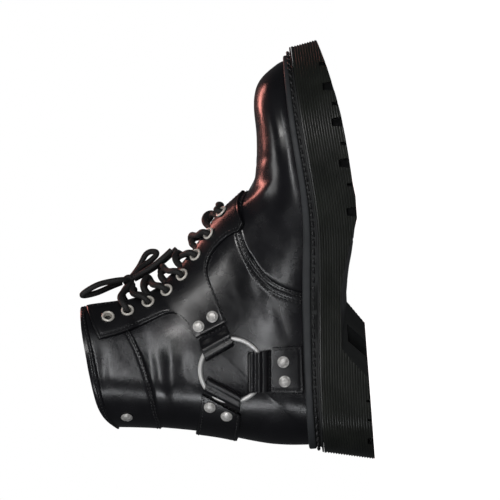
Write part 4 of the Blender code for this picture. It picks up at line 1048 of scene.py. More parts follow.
def half_shares(ring):
    """How far round a ring each point lies: 0 at the heel's back, 1 at the toe's tip, 2 at the end."""
    run = travelled(np.vstack([ring, ring[:1]]))
    tip = run[int(np.argmax(ring[:, 0]))]
    return np.interp(run[:-1], [0.0, tip, run[-1]], [0.0, 1.0, 2.0])


def rib_height(x):
    """How far the top of the welt's rib stands over the sole's top line at x."""
    return HEEL_HEIGHT * welt_top(x / LENGTH)


def cubic_grid(values, rows, columns):
    """A coarse grid of values read smoothly at fine shares of its rows and columns."""
    u, v = (np.linspace(0, 1, count) for count in values.shape)
    return splined(v, splined(u, values, rows).T, columns).T


EDGE_ROUND = 0.9


def rounded_shares(span, count):
    """Shares along a span in millimetres, gathered at both ends where the edge is rounded."""
    near = np.array([0.0, 0.08, 0.3, 0.62, 1.0]) * EDGE_ROUND / span
    return np.concatenate([near[:-1], np.linspace(near[-1], 1 - near[-1], count), 1 - near[:-1][::-1]])


def edge_drop(distance):
    """How far a rounded edge falls below the strap's face at a distance from its border."""
    share = 1 - np.clip(distance / EDGE_ROUND, 0, 1)
    return EDGE_ROUND * (1 - np.sqrt(np.maximum(1 - share**2, 0)))


def border_distance(points, axis):
    """How far each point of a grid lies from the nearer border along an axis, in millimetres."""
    steps = np.linalg.norm(np.diff(points, axis=axis), axis=-1)
    run = np.cumsum(steps, axis=axis)
    zero = np.zeros_like(np.take(run, [0], axis=axis))
    run = np.concatenate([zero, run], axis=axis)
    return np.minimum(run, np.take(run, [-1], axis=axis) - run)


STITCH_INSET = 2.0
STITCH_GROOVE = 0.30


def strap_dip(distance):
    """How far a strap's face lies below its full height: its rounded edge and its stitch groove."""
    return edge_drop(distance) + STITCH_GROOVE * bell(distance - STITCH_INSET, 0.55)


def cut_strap(node, s, t, side, low, open_start=False):
    """A strap with rounded edges and a dip under its stitches: s and t are fine grids.

    With open_start its first edge lies under something else and stays full.
    """
    plain = point(s, t, side, low)
    away_u = border_distance(plain, 0)
    if open_start:
        away_u[: len(away_u) // 2] = LENGTH
    away = np.minimum(away_u, border_distance(plain, 1))
    outer = point(s, t, side, low + STRAP_THICK - strap_dip(away))
    points, faces = shell(outer.reshape(-1, 3), plain.reshape(-1, 3), grid_faces(*s.shape))
    return piece(node + "_dressed", points, faces, STRAP_LEATHER, "black_leather", [node], sharp=60.0)


# The rear edge of the eyestay and of the instep strap that grows out of it, as in the solids:
# section row of the throat's edge, then x and z seen from the side in shares of LENGTH and
# SHAFT_HEIGHT.
EYESTAY_EDGE = (
    (9.22, 0.578, 0.468),
    (9.75, 0.560, 0.488),
    (10.35, 0.552, 0.525),
    (10.95, 0.535, 0.570),
    (11.60, 0.509, 0.612),
    (12.25, 0.480, 0.634),
    (12.90, 0.446, 0.630),
    (13.45, 0.392, 0.597),
    (13.90, 0.3485, 0.572),
    (14.25, 0.3325, 0.637),
    (14.65, 0.3160, 0.704),
    (15.10, 0.348, 0.724),
    (15.60, 0.372, 0.762),
    (16.20, 0.378, 0.812),
    (17.00, 0.366, 0.873),
    (17.90, 0.351, 0.945),
    (18.90, 0.339, 1.010),
    (19.70, 0.332, 1.068),
    (20.25, 0.328, 1.112),
)
EYESTAY_CORNERS = (8, 10)
EYESTAY_STATIONS = 190


def eyestay_edge():
    """The rear edge in fine steps: smooth between its two corners. Throat rows and x, z."""
    table = np.array(EYESTAY_EDGE) * (1.0, LENGTH, SHAFT_HEIGHT)
    stops = (0,) + EYESTAY_CORNERS + (len(table) - 1,)
    parts = []
    for first, last in zip(stops, stops[1:]):
        run = table[first : last + 1]
        at = np.linspace(0, 1, max(3, EYESTAY_STATIONS * (last - first) // len(table)))
        part = splined(np.linspace(0, 1, len(run)), run, at)
        parts.append(part if last == stops[-1] else part[:-1])
    return np.concatenate(parts)


def eyestay_grid(side, shares):
    """(s, t) from the throat's edge to the rear edge."""
    row, x, z = eyestay_edge().T
    rear_s, rear_t = find(x, z, side)
    front_t = throat_edge(row, side) - 0.004
    s = row[:, None] + (rear_s - row)[:, None] * shares
    t = front_t[:, None] + (rear_t - front_t)[:, None] * shares
    return s, t


# Eyelets and rivets seen from the side, as in the solids: shares of LENGTH and SHAFT_HEIGHT.
EYELETS = (
    (0.6000, 0.550),
    (0.5534, 0.609),
    (0.5059, 0.672),
    (0.4617, 0.737),
    (0.4286, 0.807),
    (0.4031, 0.893),
    (0.3845, 0.984),
    (0.3731, 1.069),
)
RIVETS = (
    ("instep_low", 0.3640, 0.628),
    ("instep_high", 0.3430, 0.688),
    ("side_fore", 0.2470, 0.353),
    ("side_rear", 0.2020, 0.352),
    ("heel_high", 0.1590, 0.668),
    ("heel_low", 0.1362, 0.601),
    ("cuff", 0.1497, 1.020),
)
WORDS = {-1: "lateral", 1: "medial"}


def level_direction(normal):
    """The direction square to normal that runs most nearly toward the toe."""
    forward = np.array([1.0, 0.0, 0.0])
    return unit(forward - normal * (forward @ normal))


@functools.lru_cache(maxsize=None)
def mount_base(x, z, side):
    """Where a small fitting stands: the surface's point, the lift under it and its directions."""
    s, t = (float(value) for value in find(x * LENGTH, z * SHAFT_HEIGHT, side))
    foot = point(s, t, side)
    normal = surface_normal(s, t, side)
    forward = level_direction(normal)
    under = max(float(base_lift(np.array(row), np.array(t), side)) for row in (s - 0.25, s, s + 0.25))
    return foot, under, forward, np.cross(normal, forward), normal


def mount(x, z, side, lift):
    """A point over the upper with the three directions of a small fitting there."""
    foot, under, forward, upward, normal = mount_base(x, z, side)
    return foot + normal * (under + lift), forward, upward, normal


def turned(at, profile, around, closed):
    """Points and faces of a turned piece: profile holds (radius, height), closed joins its ends."""
    centre, forward, upward, normal = at
    angle = 2 * math.pi * np.arange(around) / around
    out = np.cos(angle)[:, None] * forward + np.sin(angle)[:, None] * upward
    profile = np.asarray(profile, float)
    points = centre + out[:, None, :] * profile[None, :, :1] + normal * profile[None, :, 1:]
    count = len(profile)
    faces = []
    for i in range(around):
        low, high = i * count, (i + 1) % around * count
        for j in range(count if closed else count - 1):
            k = (j + 1) % count
            faces.append((low + j, low + k, high + k, high + j))
    return points.reshape(-1, 3), faces


def arc(centre, radius, start, stop, count):
    """Points of a flat arc, angles in degrees."""
    angle = np.radians(np.linspace(start, stop, count))
    return [(centre[0] + radius * math.cos(a), centre[1] + radius * math.sin(a)) for a in angle]


EYESTAY_ACROSS = 28.0


def make_eyestay(side):
    """The eyestay with its instep strap, and a hole under each eyelet."""
    s, t = eyestay_grid(side, rounded_shares(EYESTAY_ACROSS, 30))
    made = cut_strap("eyestay_" + WORDS[side], s, t, side, base_lift(s, t, side) + GAP)
    radius = EYELET_HOLE / 2 + 0.1
    drill = ((0.0, -6.0), (radius, -6.0), (radius, 8.0), (0.0, 8.0))
    holes = joined(turned(mount(x, z, side, 0.0), drill, 24, False) for x, z in EYELETS)
    apply_cut(made, tool_mesh("eyelet_holes_" + WORDS[side], *holes))


# The side strap's rows from the ring's loop down to the welt, then the heel strap's front end and
# its two edges at the back, all seen from the side in shares of LENGTH and SHAFT_HEIGHT.
STRAP_OVER_WELT = 1.4
SIDE_STRAP = (
    ((0.2825, 0.3925), (0.1771, 0.4060)),
    ((0.2825, 0.330), (0.1740, 0.338)),
    ((0.2820, 0.272), (0.1690, 0.276)),
)
HEEL_STRAP = ((0.1857, 0.6990), (0.1328, 0.5440))
HEEL_STRAP_BACK = (0.738, 0.566)
SIDE_STRAP_LIFT = QUARTER_STEP + GAP
HEEL_STRAP_LIFT = SIDE_STRAP_LIFT + 0.2
HEEL_STRAP_WIDE = 27.0


def side_strap_grid(side, u, v):
    """(s, t) at shares down the strap and across it."""
    table = in_side_view(SIDE_STRAP)
    x = table[-1][:, 0]
    table[-1][:, 1] = sole_top(x) + rib_height(x) + STRAP_OVER_WELT
    return find(cubic_grid(table[..., 0], u, v), cubic_grid(table[..., 1], u, v), side)


def make_side_strap(side):
    s, t = side_strap_grid(side, rounded_shares(20.0, 24), rounded_shares(30.0, 30))
    cut_strap("side_strap_" + WORDS[side], s, t, side, SIDE_STRAP_LIFT, open_start=True)


def heel_strap_grid(side, turn_shares, shares):
    """(s, t) from the strap's front end to the back's centre line."""
    rows = np.linspace(HEEL_ROW, TOP_ROW, 600)
    back_x, back_z = anchors(rows)[:2]
    first = in_side_view(HEEL_STRAP)
    z_back = (HEEL_STRAP_BACK[0] + (HEEL_STRAP_BACK[1] - HEEL_STRAP_BACK[0]) * shares) * SHAFT_HEIGHT
    row_back = np.interp(z_back, back_z, rows)
    x_back = np.interp(z_back, back_z, back_x)
    start = first[0] + (first[1] - first[0]) * shares[:, None]
    run = 1 - np.cos((1 - turn_shares) * math.pi / 2)
    x = x_back + (start[:, 0] - x_back) * run[:, None]
    z = z_back + (start[:, 1] - z_back) * run[:, None] ** 0.7
    s, t = find(x, z, side)
    s[-1], t[-1] = row_back, 0.0
    # The last stations before the centre line are eased in, where the view from the side is steep.
    ease = smooth_ramp(turn_shares, 0.72, 1.0)[:, None]
    return s + (row_back - s) * ease**2, t


def make_heel_strap():
    """The strap round the back, from one ring to the other."""
    u = np.linspace(0, 1, 44)
    v = rounded_shares(HEEL_STRAP_WIDE, 24)
    halves = [heel_strap_grid(side, u, v) for side in (-1, 1)]
    dip = strap_dip(np.minimum(v, 1 - v) * HEEL_STRAP_WIDE)[None, :]
    sheets = []
    for lift in (HEEL_STRAP_LIFT + STRAP_THICK - dip, HEEL_STRAP_LIFT):
        lateral, medial = (point(*half, side, lift) for half, side in zip(halves, (-1, 1)))
        sheets.append(np.concatenate([lateral, medial[::-1][1:]]).reshape(-1, 3))
    points, faces = shell(*sheets, grid_faces(2 * len(u) - 1, len(v)))
    piece(
        "heel_strap_dressed", points, faces, STRAP_LEATHER, "black_leather", ["heel_strap"], sharp=60.0,
    )


for side in (-1, 1):
    make_eyestay(side)
    make_side_strap(side)
make_heel_strap()


# The ring's centre, and for each fold round the ring its own line's two ends and the two ends of
# the stitch line behind it: shares of LENGTH and SHAFT_HEIGHT, seen from the side.
RING_CENTRE = (0.2380, 0.5660)
RING_OVER_STEP = 2.6
FOLDS = {
    "instep": ((0.3012, 0.5450), (0.2657, 0.6755), (0.3470, 0.5700), (0.3145, 0.7010)),
    "side": ((0.1793, 0.4985), (0.2800, 0.4850), (0.1772, 0.4090), (0.2824, 0.3957)),
    "heel": ((0.2240, 0.6745), (0.1719, 0.5290), (0.1872, 0.6980), (0.1345, 0.5436)),
}


def ring_frame(side):
    """The ring's centre, its two directions in its plane and its normal, as in the solids."""
    angle = 2 * math.pi * np.arange(16) / 16
    x, z = in_side_view(RING_CENTRE)
    s, t = find(x + RING_RADIUS * np.cos(angle), z + RING_RADIUS * np.sin(angle), side)
    under = point(s, t, side, QUARTER_STEP)
    middle = under.mean(axis=0)
    normal = np.linalg.svd(under - middle)[2][2]
    normal = normal * (1 if normal[1] * side > 0 else -1)
    high = ((under - middle) @ normal).max()
    forward = level_direction(normal)
    upward = np.cross(forward, normal)
    upward = upward * (1 if upward[2] > 0 else -1)
    lift = high + GAP + RING_OVER_STEP + RING_WIRE / 2
    return middle + normal * lift, forward, upward, normal


def make_ring(side):
    profile = arc((RING_RADIUS, 0.0), RING_WIRE / 2, 0, 345, 24)
    points, faces = turned(ring_frame(side), profile, 144, True)
    word = WORDS[side]
    piece("ring_dressed_" + word, points, faces, RING_METAL, "ring_metal", ["ring_" + word])


# The fold's outer skin from under the ring round the nose to the stitch line: how far back from the
# fold, height over the ring's plane in millimetres. A roll lies at the nose, then a groove, then
# a bulge where the two layers close.
FOLD_TOP = (
    (-1.6, 0.0), (-1.25, 1.9), (0.1, 3.5), (1.5, 4.05), (2.8, 3.6), (3.7, 2.95), (4.7, 3.4), (6.6, 4.1),
)
# Behind the bulge: how far back, and how much of the bulge's height is left.
FOLD_SLOPE = ((8.6, 0.80), (10.4, 0.42), (12.0, 0.12))
FOLD_SKIN = 1.5
FOLD_HALF = RING_WIRE / 2 + 1.0
FOLD_MARGIN = 0.035
FOLD_COUNT = 64
FOLD_WIDE = 34
FOLD_ROUND = 1.3


def fold_profiles(length, reach, low, plane):
    """The outer and inner lines across a folded strap: (back, height over the plain surface)."""
    end = low + STRAP_THICK + 0.6
    top = [(back, plane + up) for back, up in FOLD_TOP]
    last = max(top[-1][1], end)
    top += [(b, end + (last - end) * u) for b, u in FOLD_SLOPE if b < length - 0.5]
    top.append((length, end))
    bottom = [(length, low), (length * 0.5, low), (3.0, low), (-0.3, (low + plane) / 2 - 0.4)]
    floor = low + FOLD_SKIN
    inner = [
        (reach, floor), (3.4, floor), (0.9, (floor + plane) / 2 - 0.3), (-0.1, plane),
        (0.4, plane + FOLD_HALF * 0.65), (2.0, plane + FOLD_HALF), (reach - 2.5, plane + FOLD_HALF),
        (reach, plane + FOLD_HALF * 0.8),
    ]
    return soft_ring(bottom + top, FOLD_COUNT), soft_ring(inner, FOLD_COUNT)


def soft_ring(corners, count):
    """A closed line of count points through corners, rounded a little; it starts at the first."""
    line = even(corners + corners[:1], count, True)
    for _ in range(2):
        line = 0.5 * line + 0.25 * (np.roll(line, 1, axis=0) + np.roll(line, -1, axis=0))
    return line


def fold_lines(key, shares):
    """Across a fold: its length, the points of its own line and the directions away from it."""
    a, b, c, d = in_side_view(FOLDS[key])
    length = float(np.linalg.norm((c + d - a - b) / 2))
    foot = a + (b - a) * shares[:, None]
    return length, foot, (c + (d - c) * shares[:, None] - foot) / length


def make_loop(key, side, ring):
    """A strap's end folded round the ring's wire: a flat tunnel open at both sides."""
    a, b = in_side_view(FOLDS[key][:2])
    width = float(np.linalg.norm(b - a))
    across = (b - a) / width
    shares = FOLD_MARGIN + (1 - 2 * FOLD_MARGIN) * rounded_shares(width, FOLD_WIDE - 8)
    length, foot, away = fold_lines(key, shares)
    inward = in_side_view(RING_CENTRE) - (a + b) / 2
    chord = abs(inward[0] * across[1] - inward[1] * across[0])
    reach = min(RING_RADIUS + RING_WIRE / 2 + 1.4 - chord, length - 0.9)
    centre, normal = ring[0], ring[3]
    near = foot + away * 2.0
    near_s, near_t = find(near[:, 0], near[:, 1], side)
    lows = base_lift(near_s, near_t, side) + GAP
    planes = np.maximum((centre - point(near_s, near_t, side)) @ normal, lows + FOLD_SKIN + FOLD_HALF)
    inset = np.minimum(shares - FOLD_MARGIN, 1 - FOLD_MARGIN - shares) * width
    trims = edge_drop(inset * EDGE_ROUND / FOLD_ROUND) / EDGE_ROUND * 0.6
    sheets = ([], [])
    for low, plane, trim in zip(lows, planes, trims):
        outer, inner = fold_profiles(length, reach, low, plane)
        sheets[0].append(outer + ((outer + inner) / 2 - outer) * trim)
        sheets[1].append(inner)
    points = []
    for lines in map(np.array, sheets):
        spots = foot[:, None] + away[:, None] * lines[..., :1]
        s, t = find(spots[..., 0], spots[..., 1], side)
        points.append((point(s, t, side) + normal * lines[..., 1:]).reshape(-1, 3))
    stations = len(shares)
    shift = stations * FOLD_COUNT
    sides = ring_faces(stations, FOLD_COUNT)
    faces = sides.tolist() + (sides[:, ::-1] + shift).tolist()
    for start in (0, shift - FOLD_COUNT):
        for j in range(FOLD_COUNT):
            p, q = start + j, start + (j + 1) % FOLD_COUNT
            faces.append((p, q, shift + q, shift + p))
    name = key + "_loop_" + WORDS[side]
    piece(
        name + "_dressed", np.concatenate(points), faces, STRAP_LEATHER, "black_leather", [name],
        sharp=70.0,
    )


# A rivet's head: radius as a share of its own and height, the flange, the groove, then the dome.
RIVET_FLANGE = (
    (0.0, -0.3), (0.8, -0.3), (0.97, 0.0), (1.0, 0.3), (0.97, 0.55), (0.86, 0.78), (0.80, 0.70), (0.74, 0.86),
)
RIVET_DOME = (0.62, 0.48, 0.34, 0.2, 0.08)
RIVET_TOP = 1.75


def make_rivet(place, x, z, side):
    at = mount(x, z, side, 0.5 if place == "cuff" else STRAP_THICK + GAP + 0.5)
    radius = RIVET_DIAMETER / 2
    profile = [(radius * share, up) for share, up in RIVET_FLANGE]
    profile += [(radius * share, RIVET_TOP - 0.95 * share**2.2) for share in RIVET_DOME]
    profile.append((0.0, RIVET_TOP + 0.01))
    points, faces = turned(at, profile, 32, False)
    name = "rivet_" + place + "_" + WORDS[side]
    piece(name + "_dressed", points, faces, NICKEL, "ring_metal", [name])


def make_eyelet(k, x, z, side):
    """A rolled rim with a short barrel down its hole."""
    at = mount(x, z, side, STRAP_THICK + GAP + 0.15)
    outer, hole = EYELET_OUTER / 2, EYELET_HOLE / 2
    middle = (outer + hole) / 2
    across = (outer - hole) / 2
    profile = [(hole - 0.25, -2.4), (hole - 0.12, -0.3)]
    profile += [
        (middle - across * math.cos(a), 0.25 + math.sin(a)) for a in np.linspace(0, math.pi, 14)
    ]
    profile += [(outer - 0.15, 0.05), (hole + 0.2, 0.05), (hole + 0.05, -2.4)]
    points, faces = turned(at, profile, 44, True)
    name = "eyelet_" + str(k + 1) + "_" + WORDS[side]
    piece(name + "_dressed", points, faces, CREAM, "eyelet_metal", [name])


for side in (-1, 1):
    make_ring(side)
    ring = ring_frame(side)
    for key in FOLDS:
        make_loop(key, side, ring)
    for place, x, z in RIVETS:
        make_rivet(place, x, z, side)
    for k, (x, z) in enumerate(EYELETS):
        make_eyelet(k, x, z, side)


def underside_tool():
    """What lies under the sole: between the lateral and the medial line its face slants across."""
    rows = []
    for y, table in (
        (-0.80, UNDERSIDE_LATERAL), (-0.39, UNDERSIDE_LATERAL),
        (0.37, UNDERSIDE_MEDIAL), (0.80, UNDERSIDE_MEDIAL),
    ):
        line = [(x * LENGTH, y * BALL_WIDTH, z * HEEL_HEIGHT) for x, z in table]
        rows.append(line + [(x, y * BALL_WIDTH, -30.0) for x in (line[-1][0], line[0][0])])
    count = len(rows[0])
    faces = ring_faces(len(rows), count).tolist()
    faces += [list(range(count))[::-1], list(range(3 * count, 4 * count))]
    return tool_mesh("cut_underside", np.concatenate(rows), faces, RUBBER)


# How wide a gap between lugs is at its top and at its foot, as shares of its width.
GAP_TAPER = 0.55
GAP_SPREAD = 1.15


def lug_gap_tool(ring):
    under = table_spline(UNDERSIDE_FORE)
    lateral = ring[ring[:, 1] < 0]
    medial = ring[ring[:, 1] > 0]
    gaps = []
    for along, run, height, deep in LUG_GAPS:
        x = along * LENGTH
        low = under(along) if along > 0.57 else (0.06 if along > 0.4 else 0.0)
        top = float(low + height) * HEEL_HEIGHT
        for edge, sign in ((lateral, -1), (medial, 1)):
            order = np.argsort(edge[:, 0])
            half = abs(np.interp(x, edge[order, 0], edge[order, 1])) - deep * BALL_WIDTH
            y0, y1 = sorted((sign * half, sign * 0.75 * BALL_WIDTH))
            corners, sides = box(x - run * LENGTH / 2, x + run * LENGTH / 2, y0, y1, -9.0, top)
            corners = [(x + (a - x) * (GAP_TAPER if c > 0 else GAP_SPREAD), b, c) for a, b, c in corners]
            gaps.append((corners, sides))
    # The walls that the gaps leave take the darker welt finish: painted shade in the gaps.
    return tool_mesh("cut_lug_gaps", *joined(gaps), WELT_PAINTED_SHADE)


def heel_channel_tool():
    """The slanting channel in the heel's front edge."""
    corners, sides = box(-9.5, 14.0, -12.0, 12.0, -9.0, 0.36 * HEEL_HEIGHT)
    turn = Matrix.Rotation(math.radians(-27.0), 3, "Z")
    middle = Vector((0.262 * LENGTH, -0.01 * BALL_WIDTH, 0.0))
    # The channel's walls take the darker welt finish: painted shade in the channel.
    return tool_mesh("cut_heel_channel", [turn @ Vector(p) + middle for p in corners], sides, WELT_PAINTED_SHADE)


# One rib of the sole's side: how far down it and how deep its groove is, in shares of both.
RIB_SHAPE = ((0.0, 0.0), (0.12, 0.08), (0.55, 0.96), (0.72, 0.92))


def make_outsole():
    ring = sole_ring()
    out = outward(ring)
    depth = HEEL_HEIGHT * 1.13
    levels = [(0.0, 0.0)]
    at = 0.5 * RIB_PITCH
    while at < depth:
        levels += [(at + share * RIB_PITCH, RIB_DEPTH * deep) for share, deep in RIB_SHAPE]
        at += RIB_PITCH
    rings = [sole_side(ring, out, d, g) for d, g in levels]
    rings.append(sole_side(ring, out, levels[-1][0] + 2.0))
    points = np.concatenate(rings)
    faces = ring_faces(len(rings), len(ring)).tolist()
    faces += cap(0, len(ring), True) + cap((len(rings) - 1) * len(ring), len(ring), False)
    made = piece("outsole_dressed", points, faces, RUBBER, "sole_rubber", ["outsole"], sharp=38.0)
    for tool in (underside_tool(), lug_gap_tool(ring), heel_channel_tool()):
        apply_cut(made, tool)


WELT_COUNT = 420
# The rib's crest: how far out and how high; the recess below it: how high and how far back in; the
# band out to the sole's edge: how far out and how high. Shares, and the crest's and the band's
# heights in millimetres.
CREST = ((0.0, -0.5), (0.08, -0.15), (0.25, 0.05), (0.5, 0.12), (0.72, -0.02), (0.9, -0.4), (1.0, -1.1))
RECESS = ((0.64, 0.0), (0.55, 0.1), (0.51, 0.5), (0.48, 1.3))
BAND = ((0.12, 1.7), (0.5, 1.5), (0.9, 1.4), (1.0, 1.1), (1.0, 0.35))


def welt_rings():
    """The welt's rings from the upper's foot over the rib's crest to the sole's edge."""
    lift = GAP + 0.35
    rings = [foot_ring(lambda x: 0.3 + 0 * x, lift, WELT_COUNT)]
    for share, over in ((0.5, lift), (0.88, lift - 0.05)):
        rings.append(foot_ring(lambda x: rib_height(x) * share, over, WELT_COUNT))
    top = foot_ring(rib_height, lift, WELT_COUNT)
    out = outward(top[:, :2])
    for share, up in CREST:
        rings.append(np.column_stack([top[:, :2] + out * WELT_THICK * share, top[:, 2] + up]))
    plan = top[:, :2] + out * WELT_THICK
    for share, back in RECESS:
        height = sole_top(plan[:, 0]) + rib_height(plan[:, 0]) * share
        rings.append(np.column_stack([plan - out * back, height]))
    edge = sole_ring(1200)
    edge = edge - outward(edge) * 0.35
    near = read_line(edge, half_shares(edge), half_shares(plan))
    foot = rings[-1]
    for share, up in BAND:
        flat = foot[:, :2] + (near - foot[:, :2]) * share
        rings.append(np.column_stack([flat, sole_top(flat[:, 0]) + up]))
    return rings


def make_welt():
    """The welt, with its recess and band darker than the rib as painted shade. Returns its rings."""
    rings = welt_rings()
    faces = ring_faces(len(rings), WELT_COUNT, True)
    # The recess and the band take the darker finish: painted shade under the rib's crest.
    dark = np.arange((len(rings) - 8) * WELT_COUNT, (len(rings) - 1) * WELT_COUNT)
    piece(
        "welt_dressed", np.concatenate(rings), faces, WELT, "welt_rubber", ["welt"], sharp=55.0,
        second=(WELT_PAINTED_SHADE, dark),
    )
    return rings


TONGUE_THICK = 2.4
INSOLE_THICK = 3.0
# The tongue's half width under the laces: section row, share of BALL_WIDTH.
TONGUE = (
    (8.2, 0.190), (9.0, 0.225), (10.0, 0.250), (11.0, 0.265), (12.0, 0.270), (13.0, 0.275),
    (14.0, 0.280), (15.2, 0.285), (16.4, 0.290), (17.6, 0.295), (18.8, 0.300), (20.0, 0.300),
    (20.8, 0.290),
)


def make_tongue():
    rows = np.linspace(TONGUE[0][0], TONGUE[-1][0], 170)
    reach = table_spline(TONGUE)(rows) * BALL_WIDTH
    shares = np.linspace(-1, 1, 56)
    top, bottom = [], []
    for share in shares:
        side = -1 if share < 0 else 1
        t = angle_at(rows, reach * abs(share), side)
        edge = smooth_ramp(abs(share), 0.9, 1.0) * 0.8
        fold = 0.2 * np.sin(rows * 5.2 + 1.5 * abs(share))
        high = -WALL - GAP - 1.3
        top.append(point(rows, t, side, high - 0.25 - edge + fold))
        bottom.append(point(rows, t, side, high - TONGUE_THICK + edge))
    sheets = [np.stack(columns, axis=1).reshape(-1, 3) for columns in (top, bottom)]
    points, faces = shell(*sheets, grid_faces(len(rows), len(shares)))
    piece("tongue_dressed", points, faces, TONGUE_LEATHER, "black_leather", ["tongue"], sharp=60.0)


def make_insole():
    count = 200
    low = foot_ring(lambda x: 0.4 + 0 * x, -WALL - GAP - 2.5, count)
    rings = [low]
    for inset, drop in ((0.0, 0.6), (0.3, 0.15), (0.8, 0.0)):
        ring = low.copy()
        ring[:, :2] -= outward(low[:, :2]) * inset
        ring[:, 2] += INSOLE_THICK - drop
        rings.append(ring)
    faces = ring_faces(len(rings), count).tolist() + cap(0, count, False)
    faces += cap((len(rings) - 1) * count, count, True)
    piece("insole_dressed", np.concatenate(rings), faces, LINING, "lining", ["insole"], sharp=50.0)


make_outsole()
WELT_RINGS = make_welt()
make_tongue()
make_insole()


LACE_SIDES = 14
BRAID_STEP = 1.5
BRAID_STRANDS = 4


def tube_mesh(line, radius, sides=LACE_SIDES):
    """Points, faces and braid map of a closed tube: radius is a number or one for each point."""
    along = unit(np.gradient(line, axis=0))
    radius = np.broadcast_to(radius, (len(line),))
    first = unit(np.cross(along[0], [0.3, 0.2, 1.0]))
    angle = 2 * math.pi * np.arange(sides) / sides
    points = []
    for p, d, r in zip(line, along, radius):
        first = unit(first - d * (first @ d))
        second = np.cross(d, first)
        points.append(p + r * (np.cos(angle)[:, None] * first + np.sin(angle)[:, None] * second))
    run = travelled(line)
    count = len(line)
    points = np.concatenate(points + [line[:1], line[-1:]])
    faces = ring_faces(count, sides).tolist()
    uv = []
    for a, b, c, d in faces:
        j = a % sides
        low, high = run[a // sides] / BRAID_STEP, run[d // sides] / BRAID_STEP
        left, right = j / sides * BRAID_STRANDS, (j + 1) / sides * BRAID_STRANDS
        uv += [(low, left), (low, right), (high, right), (high, left)]
    last = (count - 1) * sides
    for j in range(sides):
        faces.append([(j + 1) % sides, j, count * sides])
        faces.append([last + j, last + (j + 1) % sides, count * sides + 1])
        uv += [(0.0, 0.0)] * 6
    return points, faces, uv


def lace_piece(name, tubes, nodes):
    """One piece of one or more braided tubes."""
    points, faces = joined(tube[:2] for tube in tubes)
    made = piece(name, points, faces, LACE, "lace_cord", nodes, sharp=60.0, closed=False)
    uv = np.concatenate([tube[2] for tube in tubes])
    layer = made.data.uv_layers.new(name="braid")
    layer.data.foreach_set("uv", uv.reshape(-1))
    return made


LACED = 7
LACE_RADIUS = LACE_DIAMETER / 2
FACE = GAP + STRAP_THICK
OVER_THROAT = 2.6


def eyelet_at(k, side, lift):
    """A point over the centre of eyelet k: lift is from the eyestay's face."""
    return mount(*EYELETS[k], side, FACE + lift)[0]


@functools.lru_cache(maxsize=None)
def eyelet_row(k, side):
    """The section row that eyelet k stands on."""
    x, z = in_side_view(EYELETS[k])
    return float(find(x, z, side)[0])


def lace_centre(k, share, lift):
    """A point over the tongue on the centre line, between the heights of eyelets k and k + 1."""
    a, b = ((eyelet_at(i, -1, 0.0) + eyelet_at(i, 1, 0.0)) / 2 for i in (k, k + 1))
    here = a + (b - a) * share
    rows = np.linspace(9.0, TOP_ROW, 600)
    line = point(rows, 1.0, 1)
    i = int(np.argmin((line[:, 0] - here[0]) ** 2 + (line[:, 2] - here[2]) ** 2))
    return point(rows[i], 1.0, 1, lift)


def edge_point(k, share, side, inward, lift):
    """A point at the throat's edge between eyelets: inward in millimetres under the eyestay."""
    low, high = eyelet_row(k, side), eyelet_row(k + 1, side)
    s = low + (high - low) * share
    edge = float(throat_edge(s, side))
    span = np.linalg.norm(plain_point(s, edge, side) - plain_point(s, edge - 0.05, side)) / 0.05
    t = min(edge - inward / span, 1.0)
    under = float(base_lift(np.array(s), np.array(min(t, edge)), side))
    return point(s, t, side, under + lift)


def from_eyelet(k, side):
    """The lace out of eyelet k, over its rim toward the throat."""
    hole = eyelet_at(k, side, 0.0)
    toward = unit(edge_point(k, 0.16, side, 0.0, FACE) - hole)
    stations = ((-2.2, 0.0), (0.6, 0.3), (1.1 + LACE_RADIUS, 2.6))
    return [eyelet_at(k, side, lift) + toward * run for lift, run in stations]


def under_edge(k, share, side):
    """The lace going in under the throat's edge."""
    stations = ((-2.6, 3.1), (0.6, 1.2), (3.2, 1.0))
    return [edge_point(k, share, side, inward, lift) for inward, lift in stations]


def make_crossings():
    """The bar at the front, the crossings and the two runs up to the knot."""
    rise = OVER_THROAT + LACE_RADIUS + 0.4
    over = FACE + LACE_RADIUS
    near, far = (from_eyelet(0, side) + [edge_point(0, 0.0, side, 0.2, over + 0.6)] for side in (-1, 1))
    lines = [near + [lace_centre(0, -0.1, rise + 1.2)] + far[::-1]]
    for k in range(LACED - 1):
        for side in (-1, 1):
            raised = side == (-1 if k % 2 else 1)
            middle = lace_centre(k, 0.5, rise + (2.3 if raised else -1.2))
            if k == 0:
                start = under_edge(0, 0.24, side)[::-1]
            else:
                start = from_eyelet(k, side) + [edge_point(k, 0.26, side, 0.6, over + 0.5)]
            lines.append(start + [middle] + under_edge(k, 0.76, -side))
    knot = knot_centre()
    for side in (-1, 1):
        edge = edge_point(LACED - 2, 0.9, side, 0.4, over + 0.8)
        to_knot = [knot + (-0.9, side * 3.4, -0.9), knot + (0.0, side * 1.0, 0.2)]
        lines.append(from_eyelet(LACED - 1, side) + [edge] + to_knot)
    tubes = []
    for line in lines:
        smooth = smooth_line(line, max(24, int(length_of(line) / 1.1)))
        tubes.append(tube_mesh(smooth, LACE_RADIUS))
    lace_piece("lace_crossings_dressed", tubes, ["lace_crossings"])


